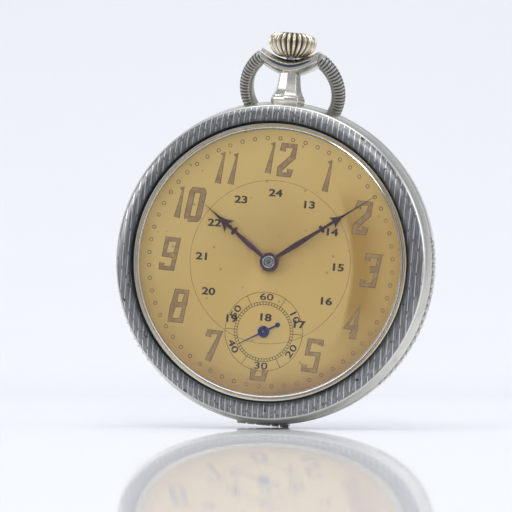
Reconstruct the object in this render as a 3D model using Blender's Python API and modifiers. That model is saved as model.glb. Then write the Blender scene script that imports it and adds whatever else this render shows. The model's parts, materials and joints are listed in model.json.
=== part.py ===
"""An open face, stem-wound lever pocket watch, built piece by piece as it comes apart on a bench.

The pieces are drawn lying dial up: x points to 3 o'clock, y to 12 o'clock, and the height z rises
from the flat of the back cover to the crystal. The empty "watch_stand" then stands the watch up,
so in the world 12 o'clock is +Z and the dial faces -Y. Lengths are in millimetres until MM.
"""

import math

import bmesh
import bpy
from mathutils import Vector

MM = 0.001
WELD = 1e-7  # metres: joins the seams of a mesh and nothing else
TURN = 2 * math.pi

# Driving dimensions
CASE_R = 24.5
OPENING_R = 20.3
PLATE_R = 20.55
FLANGE_R = 21.35
DIAL_R = 20.9
SHELL_STEPS = 40  # facets round the case
SMALL_STEPS = 12  # facets round screws, holes and arbors

# Heights above the flat of the back cover
CASE_BACK = 2.4
LEDGE_BACK = 5.1
LEDGE_FRONT = 6.55
CASE_FRONT = 8.0
BRIDGE_LOW, BRIDGE_HIGH = 2.4, 3.4
PLATE_LOW, PLATE_HIGH = 5.18, 7.5
STEM_HEIGHT = 5.2
WINDING_LOW, WINDING_HIGH = 2.42, 2.78  # ratchet and crown wheel, sunk in their bridge
WINDING_FLOOR = 2.85
MOTION_FLOOR = 6.65
KEYLESS_FLOOR = 6.4

# Where the arbors stand, (x, y)
CENTRE = (0.0, 0.0)
BARREL = (-4.65, 6.63)
THIRD = (-2.61, -5.73)
FOURTH = (0.0, -10.5)
ESCAPE = (4.0, -12.81)
PALLET = (6.71, -10.44)
BALANCE = (10.2, -7.4)
COCK_FOOT = (16.8, -0.8)
PALLET_COCK_FOOT = (9.3, -14.8)
CROWN_WHEEL = (0.0, 14.2)
CLICK = (2.12, 4.17)
MINUTE_WHEEL = (1.99, 3.92)
SETTING_WHEEL = (0.0, 9.9)
SETTING_LEVER = (4.2, 17.6)
YOKE = (-5.6, 17.0)
BARREL_BRIDGE_SCREWS = ((-14.0, 10.2), (14.0, 10.2))
TRAIN_BRIDGE_SCREWS = ((-16.6, -3.6), (-6.2, -15.9))

# Bow, pendant and crown, heights along the stem
BOW_PIVOT_Y = 31.1
BOW_RING_R = 7.15
BOW_DROP = 5.5  # from the pivots to the centre of the ring
BOW_WIRE_R = 1.05
BOW_REST_DEG = 33.0  # how far the hanging bow leans back from the plane of the watch
HEAD_HALF = 4.4
HINGE_Y, HINGE_Z = -24.2, 2.35
CASE_SCREW_R, CASE_SCREW_DEG = 20.1, 62  # from the stem, on both sides of it

# Time shown by the hands: nine minutes past ten; the hour hand was pushed on two degrees ahead
MINUTES = 9
HOURS = 10 + MINUTES / 60 + 2 / 30
SECONDS = 40

# Colour, metallic and roughness of each finish
FINISHES = {
    "silver": ((0.78, 0.77, 0.73), 1.0, 0.25),
    "niello": ((0.30, 0.32, 0.34), 0.9, 0.35),
    "glass": ((0.92, 0.94, 0.94), 0.0, 0.05),
    "gilt_dial": ((0.62, 0.47, 0.24), 0.35, 0.5),
    "nickel": ((0.62, 0.61, 0.57), 1.0, 0.35),
    "brass": ((0.72, 0.55, 0.25), 1.0, 0.35),
    "steel": ((0.50, 0.51, 0.53), 1.0, 0.25),
    "purple_steel": ((0.13, 0.07, 0.08), 0.8, 0.35),
    "blue_steel": ((0.05, 0.06, 0.25), 0.9, 0.3),
    "ruby": ((0.55, 0.03, 0.12), 0.0, 0.1),
}


# Pieces that many cuts cross are cut by the solver that wants every mesh closed
CLOSED_CUTS = (
    "back_cover",
    "case_middle",
    "centre_wheel",
    "main_plate",
    "pendant",
    "train_bridge",
)


# ---------------------------------------------------------------- building blocks


def clear_scene():
    for obj in list(bpy.data.objects):
        bpy.data.objects.remove(obj, do_unlink=True)


def new_collection(name, helpers=False):
    collection = bpy.data.collections.new(name)
    bpy.context.scene.collection.children.link(collection)
    collection.hide_render = helpers
    return collection


clear_scene()
PARTS = new_collection("pocket_watch")
CUTTERS = new_collection("pocket_watch_cutters", helpers=True)
STAND = bpy.data.objects.new("watch_stand", None)
STAND.rotation_euler = (math.pi / 2, 0, 0)
PARTS.objects.link(STAND)


def place(data, name, at=(0, 0, 0), along_stem=False, helper=False):
    """Puts data on the bench. Along the stem, its own z runs from the centre to 12 o'clock."""
    obj = bpy.data.objects.new(name, data)
    (CUTTERS if helper else PARTS).objects.link(obj)
    obj.parent = STAND
    obj.location = Vector(at) * MM
    if along_stem:
        obj.rotation_euler = (-math.pi / 2, 0, 0)
    if helper:
        obj.hide_render = True
        obj.display_type = "WIRE"
    return obj


def finish(obj, name):
    colour, metallic, roughness = FINISHES[name]
    material = bpy.data.materials.new(f"{obj.name}_{name}")
    material.use_nodes = True
    shader = material.node_tree.nodes["Principled BSDF"]
    shader.inputs["Base Color"].default_value = (*colour, 1)
    shader.inputs["Metallic"].default_value = metallic
    shader.inputs["Roughness"].default_value = roughness
    if name == "glass":
        shader.inputs["Transmission Weight"].default_value = 1.0
    obj.data.materials.append(material)
    return obj


def signed_area(points):
    pairs = zip(points, points[1:] + points[:1])
    return sum(x1 * y2 - x2 * y1 for (x1, y1), (x2, y2) in pairs) / 2


def turned(name, profile, steps=SHELL_STEPS, at=(0, 0, 0), ring=False, **where):
    """A piece from the lathe. profile lists (radius, height); a ring's profile closes on itself."""
    if signed_area(profile) > 0:
        profile = profile[::-1]
    mesh = bpy.data.meshes.new(name)
    edges = [(i, i + 1) for i in range(len(profile) - 1)]
    if ring:
        edges.append((len(profile) - 1, 0))
    mesh.from_pydata([(r * MM, 0, z * MM) for r, z in profile], edges, [])
    obj = place(mesh, name, at, **where)
    screw = obj.modifiers.new("lathe", "SCREW")
    screw.steps = screw.render_steps = steps
    screw.use_merge_vertices = True
    screw.merge_threshold = WELD
    return obj


def rod(name, radius, low, high, at=(0, 0), steps=SMALL_STEPS, **where):
    """A plain cylinder between two heights."""
    profile = [(0, low), (radius, low), (radius, high), (0, high)]
    return turned(name, profile, steps, (*at, 0), **where)


def cross_rod(name, radius, left, right, y, z, helper=True):
    """A cylinder along x."""
    obj = rod(name, radius, left, right, helper=helper)
    obj.location = Vector((0, y, z)) * MM
    obj.rotation_euler = (0, math.pi / 2, 0)
    return obj


def knuckle(name, left, right):
    """One tube of the back's hinge, bored for the pin."""
    profile = [(0.42, left), (0.6, left), (0.6, right), (0.42, right)]
    obj = turned(name, profile, SMALL_STEPS, (0, HINGE_Y, HINGE_Z), ring=True, helper=True)
    obj.rotation_euler = (0, math.pi / 2, 0)
    return obj


def block(name, low, high, helper=True):
    """A box between two corners."""
    shape = bmesh.new()
    bmesh.ops.create_cube(shape, size=1)
    size = Vector(high) - Vector(low)
    bmesh.ops.scale(shape, vec=size * MM, verts=shape.verts)
    mesh = bpy.data.meshes.new(name)
    shape.to_mesh(mesh)
    shape.free()
    return place(mesh, name, (Vector(low) + Vector(high)) / 2, helper=helper)


def welded_mesh(obj, name):
    """The evaluated object as one closed mesh; the object itself is removed."""
    graph = bpy.context.evaluated_depsgraph_get()
    mesh = bpy.data.meshes.new_from_object(obj.evaluated_get(graph))
    shape = bmesh.new()
    shape.from_mesh(mesh)
    bmesh.ops.remove_doubles(shape, verts=shape.verts, dist=WELD)
    bmesh.ops.recalc_face_normals(shape, faces=shape.faces)
    shape.to_mesh(mesh)
    shape.free()
    mesh.name = name
    bpy.data.objects.remove(obj, do_unlink=True)
    return mesh


def sheet(name, loops, low, high, at=(0, 0), **where):
    """A flat piece stamped from sheet: closed outlines, the first one outside, extruded."""
    curve = bpy.data.curves.new(name + "_outline", "CURVE")
    curve.dimensions = "2D"
    curve.fill_mode = "BOTH"
    curve.extrude = (high - low) / 2 * MM
    for loop in loops:
        spline = curve.splines.new("POLY")
        spline.points.add(len(loop) - 1)
        spline.use_cyclic_u = True
        for point, (x, y) in zip(spline.points, loop):
            point.co = (x * MM, y * MM, 0, 1)
    flat = place(curve, name + "_outline")
    mesh = welded_mesh(flat, name)
    middle = (low + high) / 2
    if where.get("along_stem"):
        return place(mesh, name, (at[0], middle, STEM_HEIGHT), **where)
    return place(mesh, name, (*at, middle), **where)


def boolean(obj, other, operation):
    modifier = obj.modifiers.new(f"{operation.lower()}_{other.name}"[:60], "BOOLEAN")
    modifier.operation = operation
    modifier.solver = "MANIFOLD" if obj.name in CLOSED_CUTS else "EXACT"
    modifier.object = other
    return obj


def cut(obj, *cutters):
    for cutter in cutters:
        boolean(obj, cutter, "DIFFERENCE")
    return obj


def join(obj, *others):
    for other in others:
        boolean(obj, other, "UNION")
    return obj


# ---------------------------------------------------------------- outlines


def arc(radius, start, end, count, at=(0, 0)):
    """Points along an arc, both ends included; angles in degrees from 3 o'clock."""
    angles = [math.radians(start + (end - start) * i / (count - 1)) for i in range(count)]
    return [(at[0] + radius * math.cos(a), at[1] + radius * math.sin(a)) for a in angles]


def circle(radius, count=SMALL_STEPS, at=(0, 0)):
    return arc(radius, 0, 360, count + 1, at)[:-1]


def polar(radius, degrees, at=(0, 0)):
    return arc(radius, degrees, degrees + 1, 2, at)[0]


def tooth_loop(teeth, pitch_r, height, phase=0.0, root=0.31, tip=0.1):
    """A toothed rim. root and tip are half a tooth's widths there, in shares of the tooth pitch."""
    step = 360 / teeth
    low, high = pitch_r - 0.55 * height, pitch_r + 0.45 * height
    points = []
    for k in range(teeth):
        middle = math.degrees(phase) + k * step
        points.append(polar(low, middle - root * step))
        points.append(polar(high, middle - tip * step))
        points.append(polar(high, middle + tip * step))
        points.append(polar(low, middle + root * step))
    return points


def fine_tooth_loop(teeth, pitch_r, height, phase=0.0):
    """A rim of many small pointed teeth, two points to a tooth."""
    step = 180 / teeth
    low, high = pitch_r - 0.7 * height, pitch_r + 0.3 * height
    heights = (high, low) * teeth
    return [polar(r, math.degrees(phase) + k * step) for k, r in enumerate(heights)]


def saw_loop(teeth, tip_r, height):
    """Ratchet teeth: one long flank and one steep one, with a tip at 3 o'clock."""
    step = 360 / teeth
    points = []
    for k in range(teeth):
        points.append(polar(tip_r, k * step))
        points.append(polar(tip_r - height, (k + 0.25) * step))
    return points


def window_loops(count, inner, outer, spoke, turn=0.0):
    """The openings between a wheel's crossings; spoke is their width."""
    loops = []
    for k in range(count):
        start, end = turn + k * 360 / count, turn + (k + 1) * 360 / count
        out_gap = math.degrees(spoke / 2 / outer)
        in_gap = math.degrees(math.asin(min(0.95, spoke / 2 / inner)))
        rim = arc(outer, start + out_gap, end - out_gap, 4)
        hub = arc(inner, end - in_gap, start + in_gap, 2)
        loops.append(rim + hub)
    return loops


def mesh_phase(teeth, phase, at, other_teeth, other_at):
    """The phase that puts a gap of the other wheel where this wheel has a tooth."""
    way = math.atan2(other_at[1] - at[1], other_at[0] - at[0])
    here = ((way - phase) * teeth / TURN) % 1.0
    return way + math.pi - (0.5 - here) * TURN / other_teeth


def spiral_loop(inner, outer, turns, wall, start_deg=0.0, per_turn=11):
    """The edge of a ribbon wound in a flat spiral, out along one face and back along the other."""
    count = int(turns * per_turn)
    faces = []
    for side in (wall / 2, -wall / 2):
        spread = [inner + (outer - inner) * i / count + side for i in range(count + 1)]
        turned_by = [start_deg + 360 * turns * i / count for i in range(count + 1)]
        faces.append([polar(r, a) for r, a in zip(spread, turned_by)])
    return faces[0] + faces[1][::-1]


def two_circle_loop(a, radius_a, b, radius_b, count=9):
    """The outline of a strap round two circles."""
    way = math.degrees(math.atan2(b[1] - a[1], b[0] - a[0]))
    gap = math.hypot(b[0] - a[0], b[1] - a[1])
    open_by = math.degrees(math.asin((radius_a - radius_b) / gap))
    far = arc(radius_b, way - 90 + open_by, way + 90 - open_by, count, b)
    near = arc(radius_a, way + 90 - open_by, way + 270 + open_by, count, a)
    return far + near


# ---------------------------------------------------------------- case


def make_case_middle():
    profile = [
        (23.7, CASE_FRONT),
        (24.15, 6.6),
        (CASE_R, 4.8),
        (CASE_R, 3.1),
        (24.1, CASE_BACK),
        (21.9, CASE_BACK),
        (21.9, LEDGE_BACK),
        (20.75, LEDGE_BACK),
        (20.75, LEDGE_FRONT),
        (21.55, LEDGE_FRONT),
        (21.55, CASE_FRONT),
    ]
    middle = turned("case_middle", profile, ring=True)
    bore = rod("pendant_bore", 1.65, 18, 27, along_stem=True, helper=True)
    seat = rod("pendant_seat", 2.5, 23.75, 27, steps=20, along_stem=True, helper=True)
    for room in (bore, seat):
        room.location.z = STEM_HEIGHT * MM
        cut(middle, room)
    for side in (-1, 1):
        ends = sorted((side * 1.25, side * 4.1))
        cut(middle, cross_rod(f"knuckle_room_{side}", 0.7, *ends, HINGE_Y, HINGE_Z))
        x, y = polar(CASE_SCREW_R, 90 + side * CASE_SCREW_DEG)
        cut(middle, rod(f"screw_room_{side}", 1.55, 4.3, LEDGE_BACK, (x, y), helper=True))
    cut(middle, cross_rod("case_pin_hole", 0.45, -1.3, 1.3, HINGE_Y, HINGE_Z))
    join(middle, knuckle("case_knuckle", -1.15, 1.15))
    finish(middle, "silver")


def make_bezel():
    profile = [
        (21.3, 9.35),
        (22.6, 9.25),
        (23.4, 9.0),
        (23.75, 8.55),
        (23.65, 8.06),
        (OPENING_R, 8.08),
        (OPENING_R, 8.5),
        (20.75, 8.5),
    ]
    finish(turned("bezel", profile, ring=True), "niello")


def make_crystal():
    edge, low, top, wall = 20.65, 8.56, 10.4, 0.55
    dome = [(edge * s, top - 1.35 * s**2.6) for s in (0, 0.5, 0.85, 1.0)]
    inside = [(19.9, low), (19.6, 8.98), (13.5, top - 0.85), (0, top - wall)]
    finish(turned("crystal", dome + [(edge, low)] + inside), "glass")


def make_back_cover():
    outer = [(0, 0), (9, 0), (17, 0.4), (23.4, 1.55), (24.3, 2.3)]
    inner = [(22.9, 2.3), (22.8, 1.9), (17, 0.85), (9, 0.45), (0, 0.45)]
    cover = turned("back_cover", outer + inner)
    cut(cover, block("cuvette_tab_slot", (-2.55, -25.5, 1.85), (2.55, -22.55, 3.2)))
    cut(cover, cross_rod("cover_knuckle_room", 0.72, -2.55, 2.55, HINGE_Y, HINGE_Z))
    for side in (-1, 1):
        ends = sorted((side * 2.65, side * 4.0))
        join(cover, cross_rod(f"cover_knuckle_{side}", 0.6, *ends, HINGE_Y, HINGE_Z))
    cut(cover, cross_rod("cover_pin_hole", 0.42, -5, 5, HINGE_Y, HINGE_Z))
    finish(cover, "silver")


def make_cuvette():
    outer = [(0, 0.98), (9, 0.98), (17, 1.28), (22.5, 2.05), (22.5, 2.32)]
    inner = [(21.5, 2.32), (17, 1.62), (9, 1.3), (0, 1.3)]
    cuvette = turned("cuvette", outer + inner, 32)
    for side in (-1, 1):
        left, right = sorted((side * 1.35, side * 2.45))
        tab = block(f"cuvette_tab_{side}", (left, HINGE_Y, 2.02), (right, -21.9, 2.3))
        knuckle = cross_rod(f"cuvette_knuckle_{side}", 0.6, left, right, HINGE_Y, HINGE_Z)
        join(cuvette, tab, knuckle)
    cut(cuvette, cross_rod("cuvette_pin_hole", 0.42, -5, 5, HINGE_Y, HINGE_Z))
    finish(cuvette, "silver")


def make_hinge_pin():
    pin = cross_rod("back_hinge_pin", 0.34, -3.95, 3.95, HINGE_Y, HINGE_Z, helper=False)
    finish(pin, "steel")


def saddle_outline():
    """The front view of the pendant's head, its top hollowed like a saddle for the crown."""
    across = (3.95, 2.9, 1.6, 0, -1.6, -2.9, -3.95)
    top = [(x, 30.75 + 1.45 * (abs(x) / 3.95) ** 1.8) for x in across]
    left = [(-HEAD_HALF, 31.9), (-HEAD_HALF, 30.35)]
    bottom = [(-3.0, 29.45), (-1.65, 28.75), (0, 28.55), (1.65, 28.75), (3.0, 29.45)]
    right = [(HEAD_HALF, 30.35), (HEAD_HALF, 31.9)]
    return top + left + bottom + right


def make_pendant():
    profile = [
        (0, 21.5),
        (1.5, 21.5),
        (1.5, 23.8),
        (2.35, 23.8),
        (2.45, 24.9),
        (2.1, 25.5),
        (1.8, 27.0),
        (1.7, 29.2),
        (0, 29.6),
    ]
    pendant = turned("pendant", profile, 20, (0, 0, STEM_HEIGHT), along_stem=True)
    low, high = STEM_HEIGHT - 2.2, STEM_HEIGHT + 2.2
    join(pendant, sheet("saddle", [saddle_outline()], low, high, helper=True))
    bore = rod("stem_bore", 1.0, 20, 33, along_stem=True, helper=True)
    bore.location.z = STEM_HEIGHT * MM
    cut(pendant, bore)
    for name, left, right in (("bow_hole_left", -5, -2.9), ("bow_hole_right", 2.9, 5)):
        cut(pendant, cross_rod(name, 0.6, left, right, BOW_PIVOT_Y, STEM_HEIGHT))
    finish(pendant, "silver")


def bow_centre_line():
    """The ring from one pivot down and round to the other, in the bow's own plane."""
    half_gap = math.degrees(math.asin((HEAD_HALF - 0.35) / BOW_RING_R))
    return arc(BOW_RING_R, 90 - half_gap, -270 + half_gap, 24, (0, -BOW_DROP))


def make_bow():
    curve = bpy.data.curves.new("bow_wire", "CURVE")
    curve.dimensions = "3D"
    curve.bevel_depth = BOW_WIRE_R * MM
    curve.bevel_resolution = 2
    curve.use_fill_caps = True
    points = bow_centre_line()
    spline = curve.splines.new("POLY")
    spline.points.add(len(points) - 1)
    for point, (x, y) in zip(spline.points, points):
        point.co = (x * MM, y * MM, 0, 1)
    mesh = welded_mesh(place(curve, "bow_wire"), "bow")
    bow = place(mesh, "bow", (0, BOW_PIVOT_Y, STEM_HEIGHT))
    inside = HEAD_HALF + 0.08
    gap = block("bow_gap", (-inside, -4, -4), (inside, 4, 4))
    left = cross_rod("bow_pin_left", 0.48, -inside - 0.6, -inside + 1.2, 0, 0)
    right = cross_rod("bow_pin_right", 0.48, inside - 1.2, inside + 0.6, 0, 0)
    for helper in (gap, left, right):
        helper.location = Vector()
        helper.parent = bow
    cut(bow, gap)
    join(bow, left, right)
    bow.rotation_euler = (math.radians(BOW_REST_DEG), 0, 0)
    finish(bow, "silver")


def make_crown():
    """A fluted onion crown, bored from below for the stem."""
    ribs, flute = 24, 0.1
    outside = [(1.3, 31.25), (3.2, 32.2), (3.62, 33.4), (2.9, 34.5)]
    profile = [(0, 34.95)] + outside[::-1] + [(0.95, 31.25), (0.95, 33.2), (0, 33.2)]
    shape = bmesh.new()
    verts = [shape.verts.new((r * MM, 0, y * MM)) for r, y in profile]
    edges = [shape.edges.new(pair) for pair in zip(verts, verts[1:])]
    bmesh.ops.spin(
        shape,
        geom=verts + edges,
        cent=(0, 0, 0),
        axis=(0, 0, 1),
        angle=TURN,
        steps=2 * ribs,
        use_duplicate=False,
    )
    bmesh.ops.remove_doubles(shape, verts=shape.verts, dist=WELD)
    for vert in shape.verts:
        radius = math.hypot(vert.co.x, vert.co.y)
        if radius > 2.0 * MM:
            wave = math.cos(ribs * math.atan2(vert.co.y, vert.co.x))
            vert.co.xy *= 1 - flute * (1 - wave) / 2
    bmesh.ops.recalc_face_normals(shape, faces=shape.faces)
    mesh = bpy.data.meshes.new("crown")
    shape.to_mesh(mesh)
    shape.free()
    crown = place(mesh, "crown", (0, 0, STEM_HEIGHT), along_stem=True)
    finish(crown, "silver")


# ---------------------------------------------------------------- plates and bridges


def make_main_plate():
    profile = [
        (0, PLATE_HIGH),
        (FLANGE_R, PLATE_HIGH),
        (FLANGE_R, 6.65),
        (PLATE_R, 6.65),
        (PLATE_R, PLATE_LOW),
        (0, PLATE_LOW),
    ]
    plate = turned("main_plate", profile)
    cut(plate, rod("barrel_pocket", 7.75, 4, 6.4, BARREL, 28, helper=True))
    pockets = ((4.05, CENTRE), (3.75, MINUTE_WHEEL), (3.45, SETTING_WHEEL))
    for number, (radius, at) in enumerate(pockets):
        cut(plate, rod(f"motion_pocket_{number}", radius, MOTION_FLOOR, 8, at, 20, helper=True))
    cut(plate, block("clutch_window", (-2.6, 13.05, 4), (2.6, 18.75, 8)))
    lever_pocket = [(2.4, 16.0), (5.6, 16.0), (5.6, 19.0), (1.9, 20.75), (-1.2, 20.75), (-1.2, 18.6)]
    yoke_pocket = [(-7.0, 15.0), (-2.4, 14.6), (-2.4, 18.3), (-7.0, 18.3)]
    cut(plate, sheet("lever_pocket", [lever_pocket], KEYLESS_FLOOR, 8, helper=True))
    cut(plate, block("nose_pin_slot", (-0.5, 18.8, 5.0), (0.8, 20.5, 7.0)))
    cut(plate, sheet("yoke_pocket", [yoke_pocket], KEYLESS_FLOOR, 8, helper=True))
    stem_room = rod("plate_stem_room", 1.0, 18, 22, along_stem=True, helper=True)
    pilot_room = rod("pilot_room", 0.45, 12.6, 13.5, along_stem=True, helper=True)
    for room in (stem_room, pilot_room):
        room.location.z = STEM_HEIGHT * MM
        cut(plate, room)
    through = ((0.75, CENTRE), (0.45, FOURTH), (0.3, BALANCE), (0.45, SETTING_LEVER))
    blind = ((0.3, THIRD), (0.3, ESCAPE), (0.3, PALLET))
    for number, (radius, at) in enumerate(through):
        cut(plate, rod(f"through_hole_{number}", radius, 4, 8, at, 12, helper=True))
    for number, (radius, at) in enumerate(blind):
        cut(plate, rod(f"pivot_hole_{number}", radius, 4, 6.4, at, 12, helper=True))
    cut(plate, rod("barrel_pivot_hole", 0.75, 6, 7.2, BARREL, 12, helper=True))
    cut(plate, rod("yoke_pivot_hole", 0.45, 5.9, 7, YOKE, 12, helper=True))
    finish(plate, "nickel")


def make_dial():
    profile = [(0, 8.0), (DIAL_R - 0.15, 8.0), (DIAL_R, 7.9), (DIAL_R, 7.6), (0, 7.6)]
    dial = turned("dial", profile)
    cut(dial, rod("dial_centre_hole", 1.2, 7, 9, CENTRE, 16, helper=True))
    cut(dial, rod("dial_seconds_hole", 0.4, 7, 9, FOURTH, 12, helper=True))
    sink_profile = [(0, 9), (5.6, 9), (5.6, 7.93), (0, 7.93)]
    sunk = turned("seconds_sink", sink_profile, 28, (*FOURTH, 0), helper=True)
    cut(dial, sunk)
    finish(dial, "gilt_dial")


def bridge_blank(name, low_y, high_y):
    """A plate on a wall that follows the movement's edge, cut away between two heights y."""
    profile = [
        (0, BRIDGE_LOW),
        (20.3, BRIDGE_LOW),
        (20.3, 5.15),
        (18.7, 5.15),
        (18.7, BRIDGE_HIGH),
        (0, BRIDGE_HIGH),
    ]
    blank = turned(name, profile, 36)
    return cut(blank, block(f"{name}_side", (-30, low_y, 0), (30, high_y, 7)))


def make_barrel_bridge():
    bridge = bridge_blank("barrel_bridge", -30, 2.2)
    sinks = ((5.85, BARREL), (3.75, CROWN_WHEEL), (2.75, (3.1, 4.7)))
    for number, (radius, at) in enumerate(sinks):
        cut(bridge, rod(f"wheel_sink_{number}", radius, 1, WINDING_FLOOR, at, 24, helper=True))
    cut(bridge, block("pinion_window", (-2.65, 16.6, 2.75), (2.65, 18.85, 6)))
    cut(bridge, block("clutch_slot", (-2.2, 12.9, 3.15), (2.2, 17.0, 4)))
    room = rod("bridge_stem_room", 1.0, 18, 22, along_stem=True, helper=True)
    room.location.z = STEM_HEIGHT * MM
    cut(bridge, room)
    cut(bridge, rod("barrel_arbor_hole", 0.95, 1, 4, BARREL, helper=True))
    for side in (-1, 1):
        at = polar(CASE_SCREW_R, 90 + side * CASE_SCREW_DEG)
        cut(bridge, rod(f"case_screw_bay_{side}", 1.65, 1, 6, at, helper=True))
    for number, at in enumerate(BARREL_BRIDGE_SCREWS):
        cut(bridge, rod(f"bridge_screw_hole_{number}", 0.65, 1, 6, at, 12, helper=True))
    finish(bridge, "nickel")


def make_train_bridge():
    bridge = bridge_blank("train_bridge", 1.95, 30)
    cut(bridge, rod("ratchet_sink", 5.85, 1, WINDING_FLOOR, BARREL, 24, helper=True))
    cut(bridge, block("cock_side", (9.0, -31, 1), (31, 5, 6)))
    cut(bridge, rod("balance_bay", 7.1, 0.5, 6.5, BALANCE, 30, helper=True))
    holes = ((0.62, CENTRE), (0.62, THIRD), (0.62, FOURTH), (0.62, ESCAPE))
    for number, (radius, at) in enumerate(holes):
        cut(bridge, rod(f"jewel_hole_{number}", radius, 1, 4, at, 12, helper=True))
    for number, at in enumerate(TRAIN_BRIDGE_SCREWS):
        cut(bridge, rod(f"train_screw_hole_{number}", 0.65, 1, 6, at, 12, helper=True))
    finish(bridge, "nickel")


def make_jewel(name, at):
    """A pierced bearing stone pressed in the train bridge."""
    profile = [(0.24, 2.5), (0.55, 2.42), (0.55, 3.36), (0.24, 3.3)]
    finish(turned(name, profile, 12, (*at, 0), ring=True), "ruby")


def make_balance_cock():
    arm = two_circle_loop(COCK_FOOT, 2.3, BALANCE, 1.9)
    cock = sheet("balance_cock", [arm], 2.4, 3.2)
    foot = rod("balance_cock_foot", 2.25, 2.6, 5.15, COCK_FOOT, 24, helper=True)
    jewel_hole = rod("cock_jewel_hole", 0.3, 2, 4, BALANCE, 12, helper=True)
    screw_hole = rod("cock_screw_hole", 0.65, 2, 6, COCK_FOOT, 12, helper=True)
    join(cock, foot)
    cut(cock, jewel_hole, screw_hole)
    finish(cock, "nickel")


def make_pallet_cock():
    arm = two_circle_loop(PALLET_COCK_FOOT, 1.2, PALLET, 0.8, 7)
    cock = sheet("pallet_cock", [arm], 4.3, 4.65)
    join(cock, rod("pallet_cock_foot", 1.15, 4.4, 5.15, PALLET_COCK_FOOT, helper=True))
    cut(cock, rod("pallet_cock_hole", 0.25, 4, 5, PALLET, 10, helper=True))
    cut(cock, rod("pallet_cock_screw_hole", 0.45, 4, 6, PALLET_COCK_FOOT, 10, helper=True))
    finish(cock, "nickel")


def make_screw(name, at, head_low, head_r, shank_r, shank_high):
    """A slotted cheese-head screw, its head towards the back."""
    head_high = head_low + 0.38
    profile = [
        (0, head_low),
        (head_r, head_low),
        (head_r, head_high),
        (shank_r, head_high),
        (shank_r, shank_high),
        (0, shank_high),
    ]
    screw = turned(name, profile, 10, (*at, 0))
    x, y = at
    low, high = (x - 3, y - 0.12, 0), (x + 3, y + 0.12, head_low + 0.14)
    cut(screw, block(f"{name}_slot", low, high))
    finish(screw, "steel")


def make_screws():
    top = BRIDGE_LOW - 0.43
    for side, at in zip(("left", "right"), BARREL_BRIDGE_SCREWS):
        make_screw(f"barrel_bridge_screw_{side}", at, top, 1.15, 0.55, 5.0)
    for side, at in zip(("left", "lower"), TRAIN_BRIDGE_SCREWS):
        make_screw(f"train_bridge_screw_{side}", at, top, 1.15, 0.55, 5.0)
    make_screw("balance_cock_screw", COCK_FOOT, top, 1.25, 0.55, 5.0)
    make_screw("pallet_cock_screw", PALLET_COCK_FOOT, 3.87, 0.75, 0.35, 5.0)
    for side, name in ((-1, "case_screw_right"), (1, "case_screw_left")):
        make_screw(name, polar(CASE_SCREW_R, 90 + side * CASE_SCREW_DEG), 4.65, 1.35, 0.3, 5.1)


# ---------------------------------------------------------------- power and winding


def make_barrel():
    drum_profile = [
        (0.85, 5.98),
        (6.6, 5.98),
        (6.6, 4.15),
        (7.0, 4.15),
        (7.0, 6.3),
        (0.85, 6.3),
    ]
    drum = turned("barrel_drum", drum_profile, 24, (*BARREL, 0), ring=True)
    rim = [fine_tooth_loop(72, 7.2, 0.42, BARREL_PHASE), circle(6.8, 24)]
    join(drum, sheet("barrel_rim", rim, 4.6, 5.0, BARREL, helper=True))
    finish(drum, "brass")
    lid = [(0.85, 4.22), (6.5, 4.22), (6.5, 4.46), (0.85, 4.46)]
    finish(turned("barrel_lid", lid, 28, (*BARREL, 0), ring=True), "brass")
    arbor = [
        (0, 2.42),
        (0.78, 2.42),
        (0.78, 4.52),
        (1.25, 4.52),
        (1.25, 5.92),
        (0.6, 5.92),
        (0.6, 7.1),
        (0, 7.1),
    ]
    arbor = turned("barrel_arbor", arbor, 16, (*BARREL, 0))
    finish(arbor, "steel")
    ribbon = spiral_loop(1.5, 6.35, 4, 0.2)
    finish(sheet("mainspring", [ribbon], 4.6, 5.85, BARREL), "steel")


def make_winding_wheels():
    ratchet = [saw_loop(44, 5.62, 0.34), circle(0.86, 12)]
    finish(sheet("ratchet_wheel", ratchet, WINDING_LOW, WINDING_HIGH, BARREL), "steel")
    crown_rim = [fine_tooth_loop(27, 3.37, 0.4, CROWN_WHEEL_PHASE), circle(0.8, 12)]
    finish(sheet("crown_wheel", crown_rim, WINDING_LOW, WINDING_HIGH, CROWN_WHEEL), "steel")
    ratchet_screw = [(0, 1.92), (1.5, 1.92), (1.6, 2.0), (1.6, 2.38), (0, 2.38)]
    finish(turned("ratchet_screw", ratchet_screw, 16, (*BARREL, 0)), "steel")
    head = [(0, 1.98), (1.3, 1.98), (1.4, 2.06), (1.4, 2.38)]
    seat = head + [(0.7, 2.38), (0.7, 2.82), (0, 2.82)]
    finish(turned("crown_wheel_screw", seat, 16, (*CROWN_WHEEL, 0)), "steel")
    slots = (("ratchet_screw", BARREL, 2.06), ("crown_wheel_screw", CROWN_WHEEL, 2.12))
    for name, (x, y), depth in slots:
        slot = block(f"{name}_slot", (x - 3, y - 0.14, 1), (x + 3, y + 0.14, depth))
        cut(PARTS.objects[name], slot)


def make_click():
    """The click swings on its screw and drops between the ratchet teeth; its spring holds it there."""
    way = math.degrees(math.atan2(BARREL[1] - CLICK[1], BARREL[0] - CLICK[0]))
    beak = [(0.75, 75), (1.35, 16), (1.2, -2), (0.8, -40)]
    body = [(0.8, -turn) for turn in (75, 110, 145, 180)]
    tail = [(1.7, -188), (1.7, -200), (0.8, -225), (0.8, -258)]
    outline = [polar(radius, way + turn) for radius, turn in beak + body + tail]
    click = sheet("click", [outline], WINDING_LOW, WINDING_HIGH, CLICK)
    finish(click, "steel")
    x, y = polar(2.05, way - 212, CLICK)
    tip = [(x + 0.05, y - 0.1), (x, y + 0.1)]
    strip = [(4.7, 5.6), (5.25, 5.2), (4.9, 4.3), *tip, (4.6, 4.5), (4.3, 5.2)]
    finish(sheet("click_spring", [strip], WINDING_LOW, WINDING_HIGH), "steel")


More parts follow.
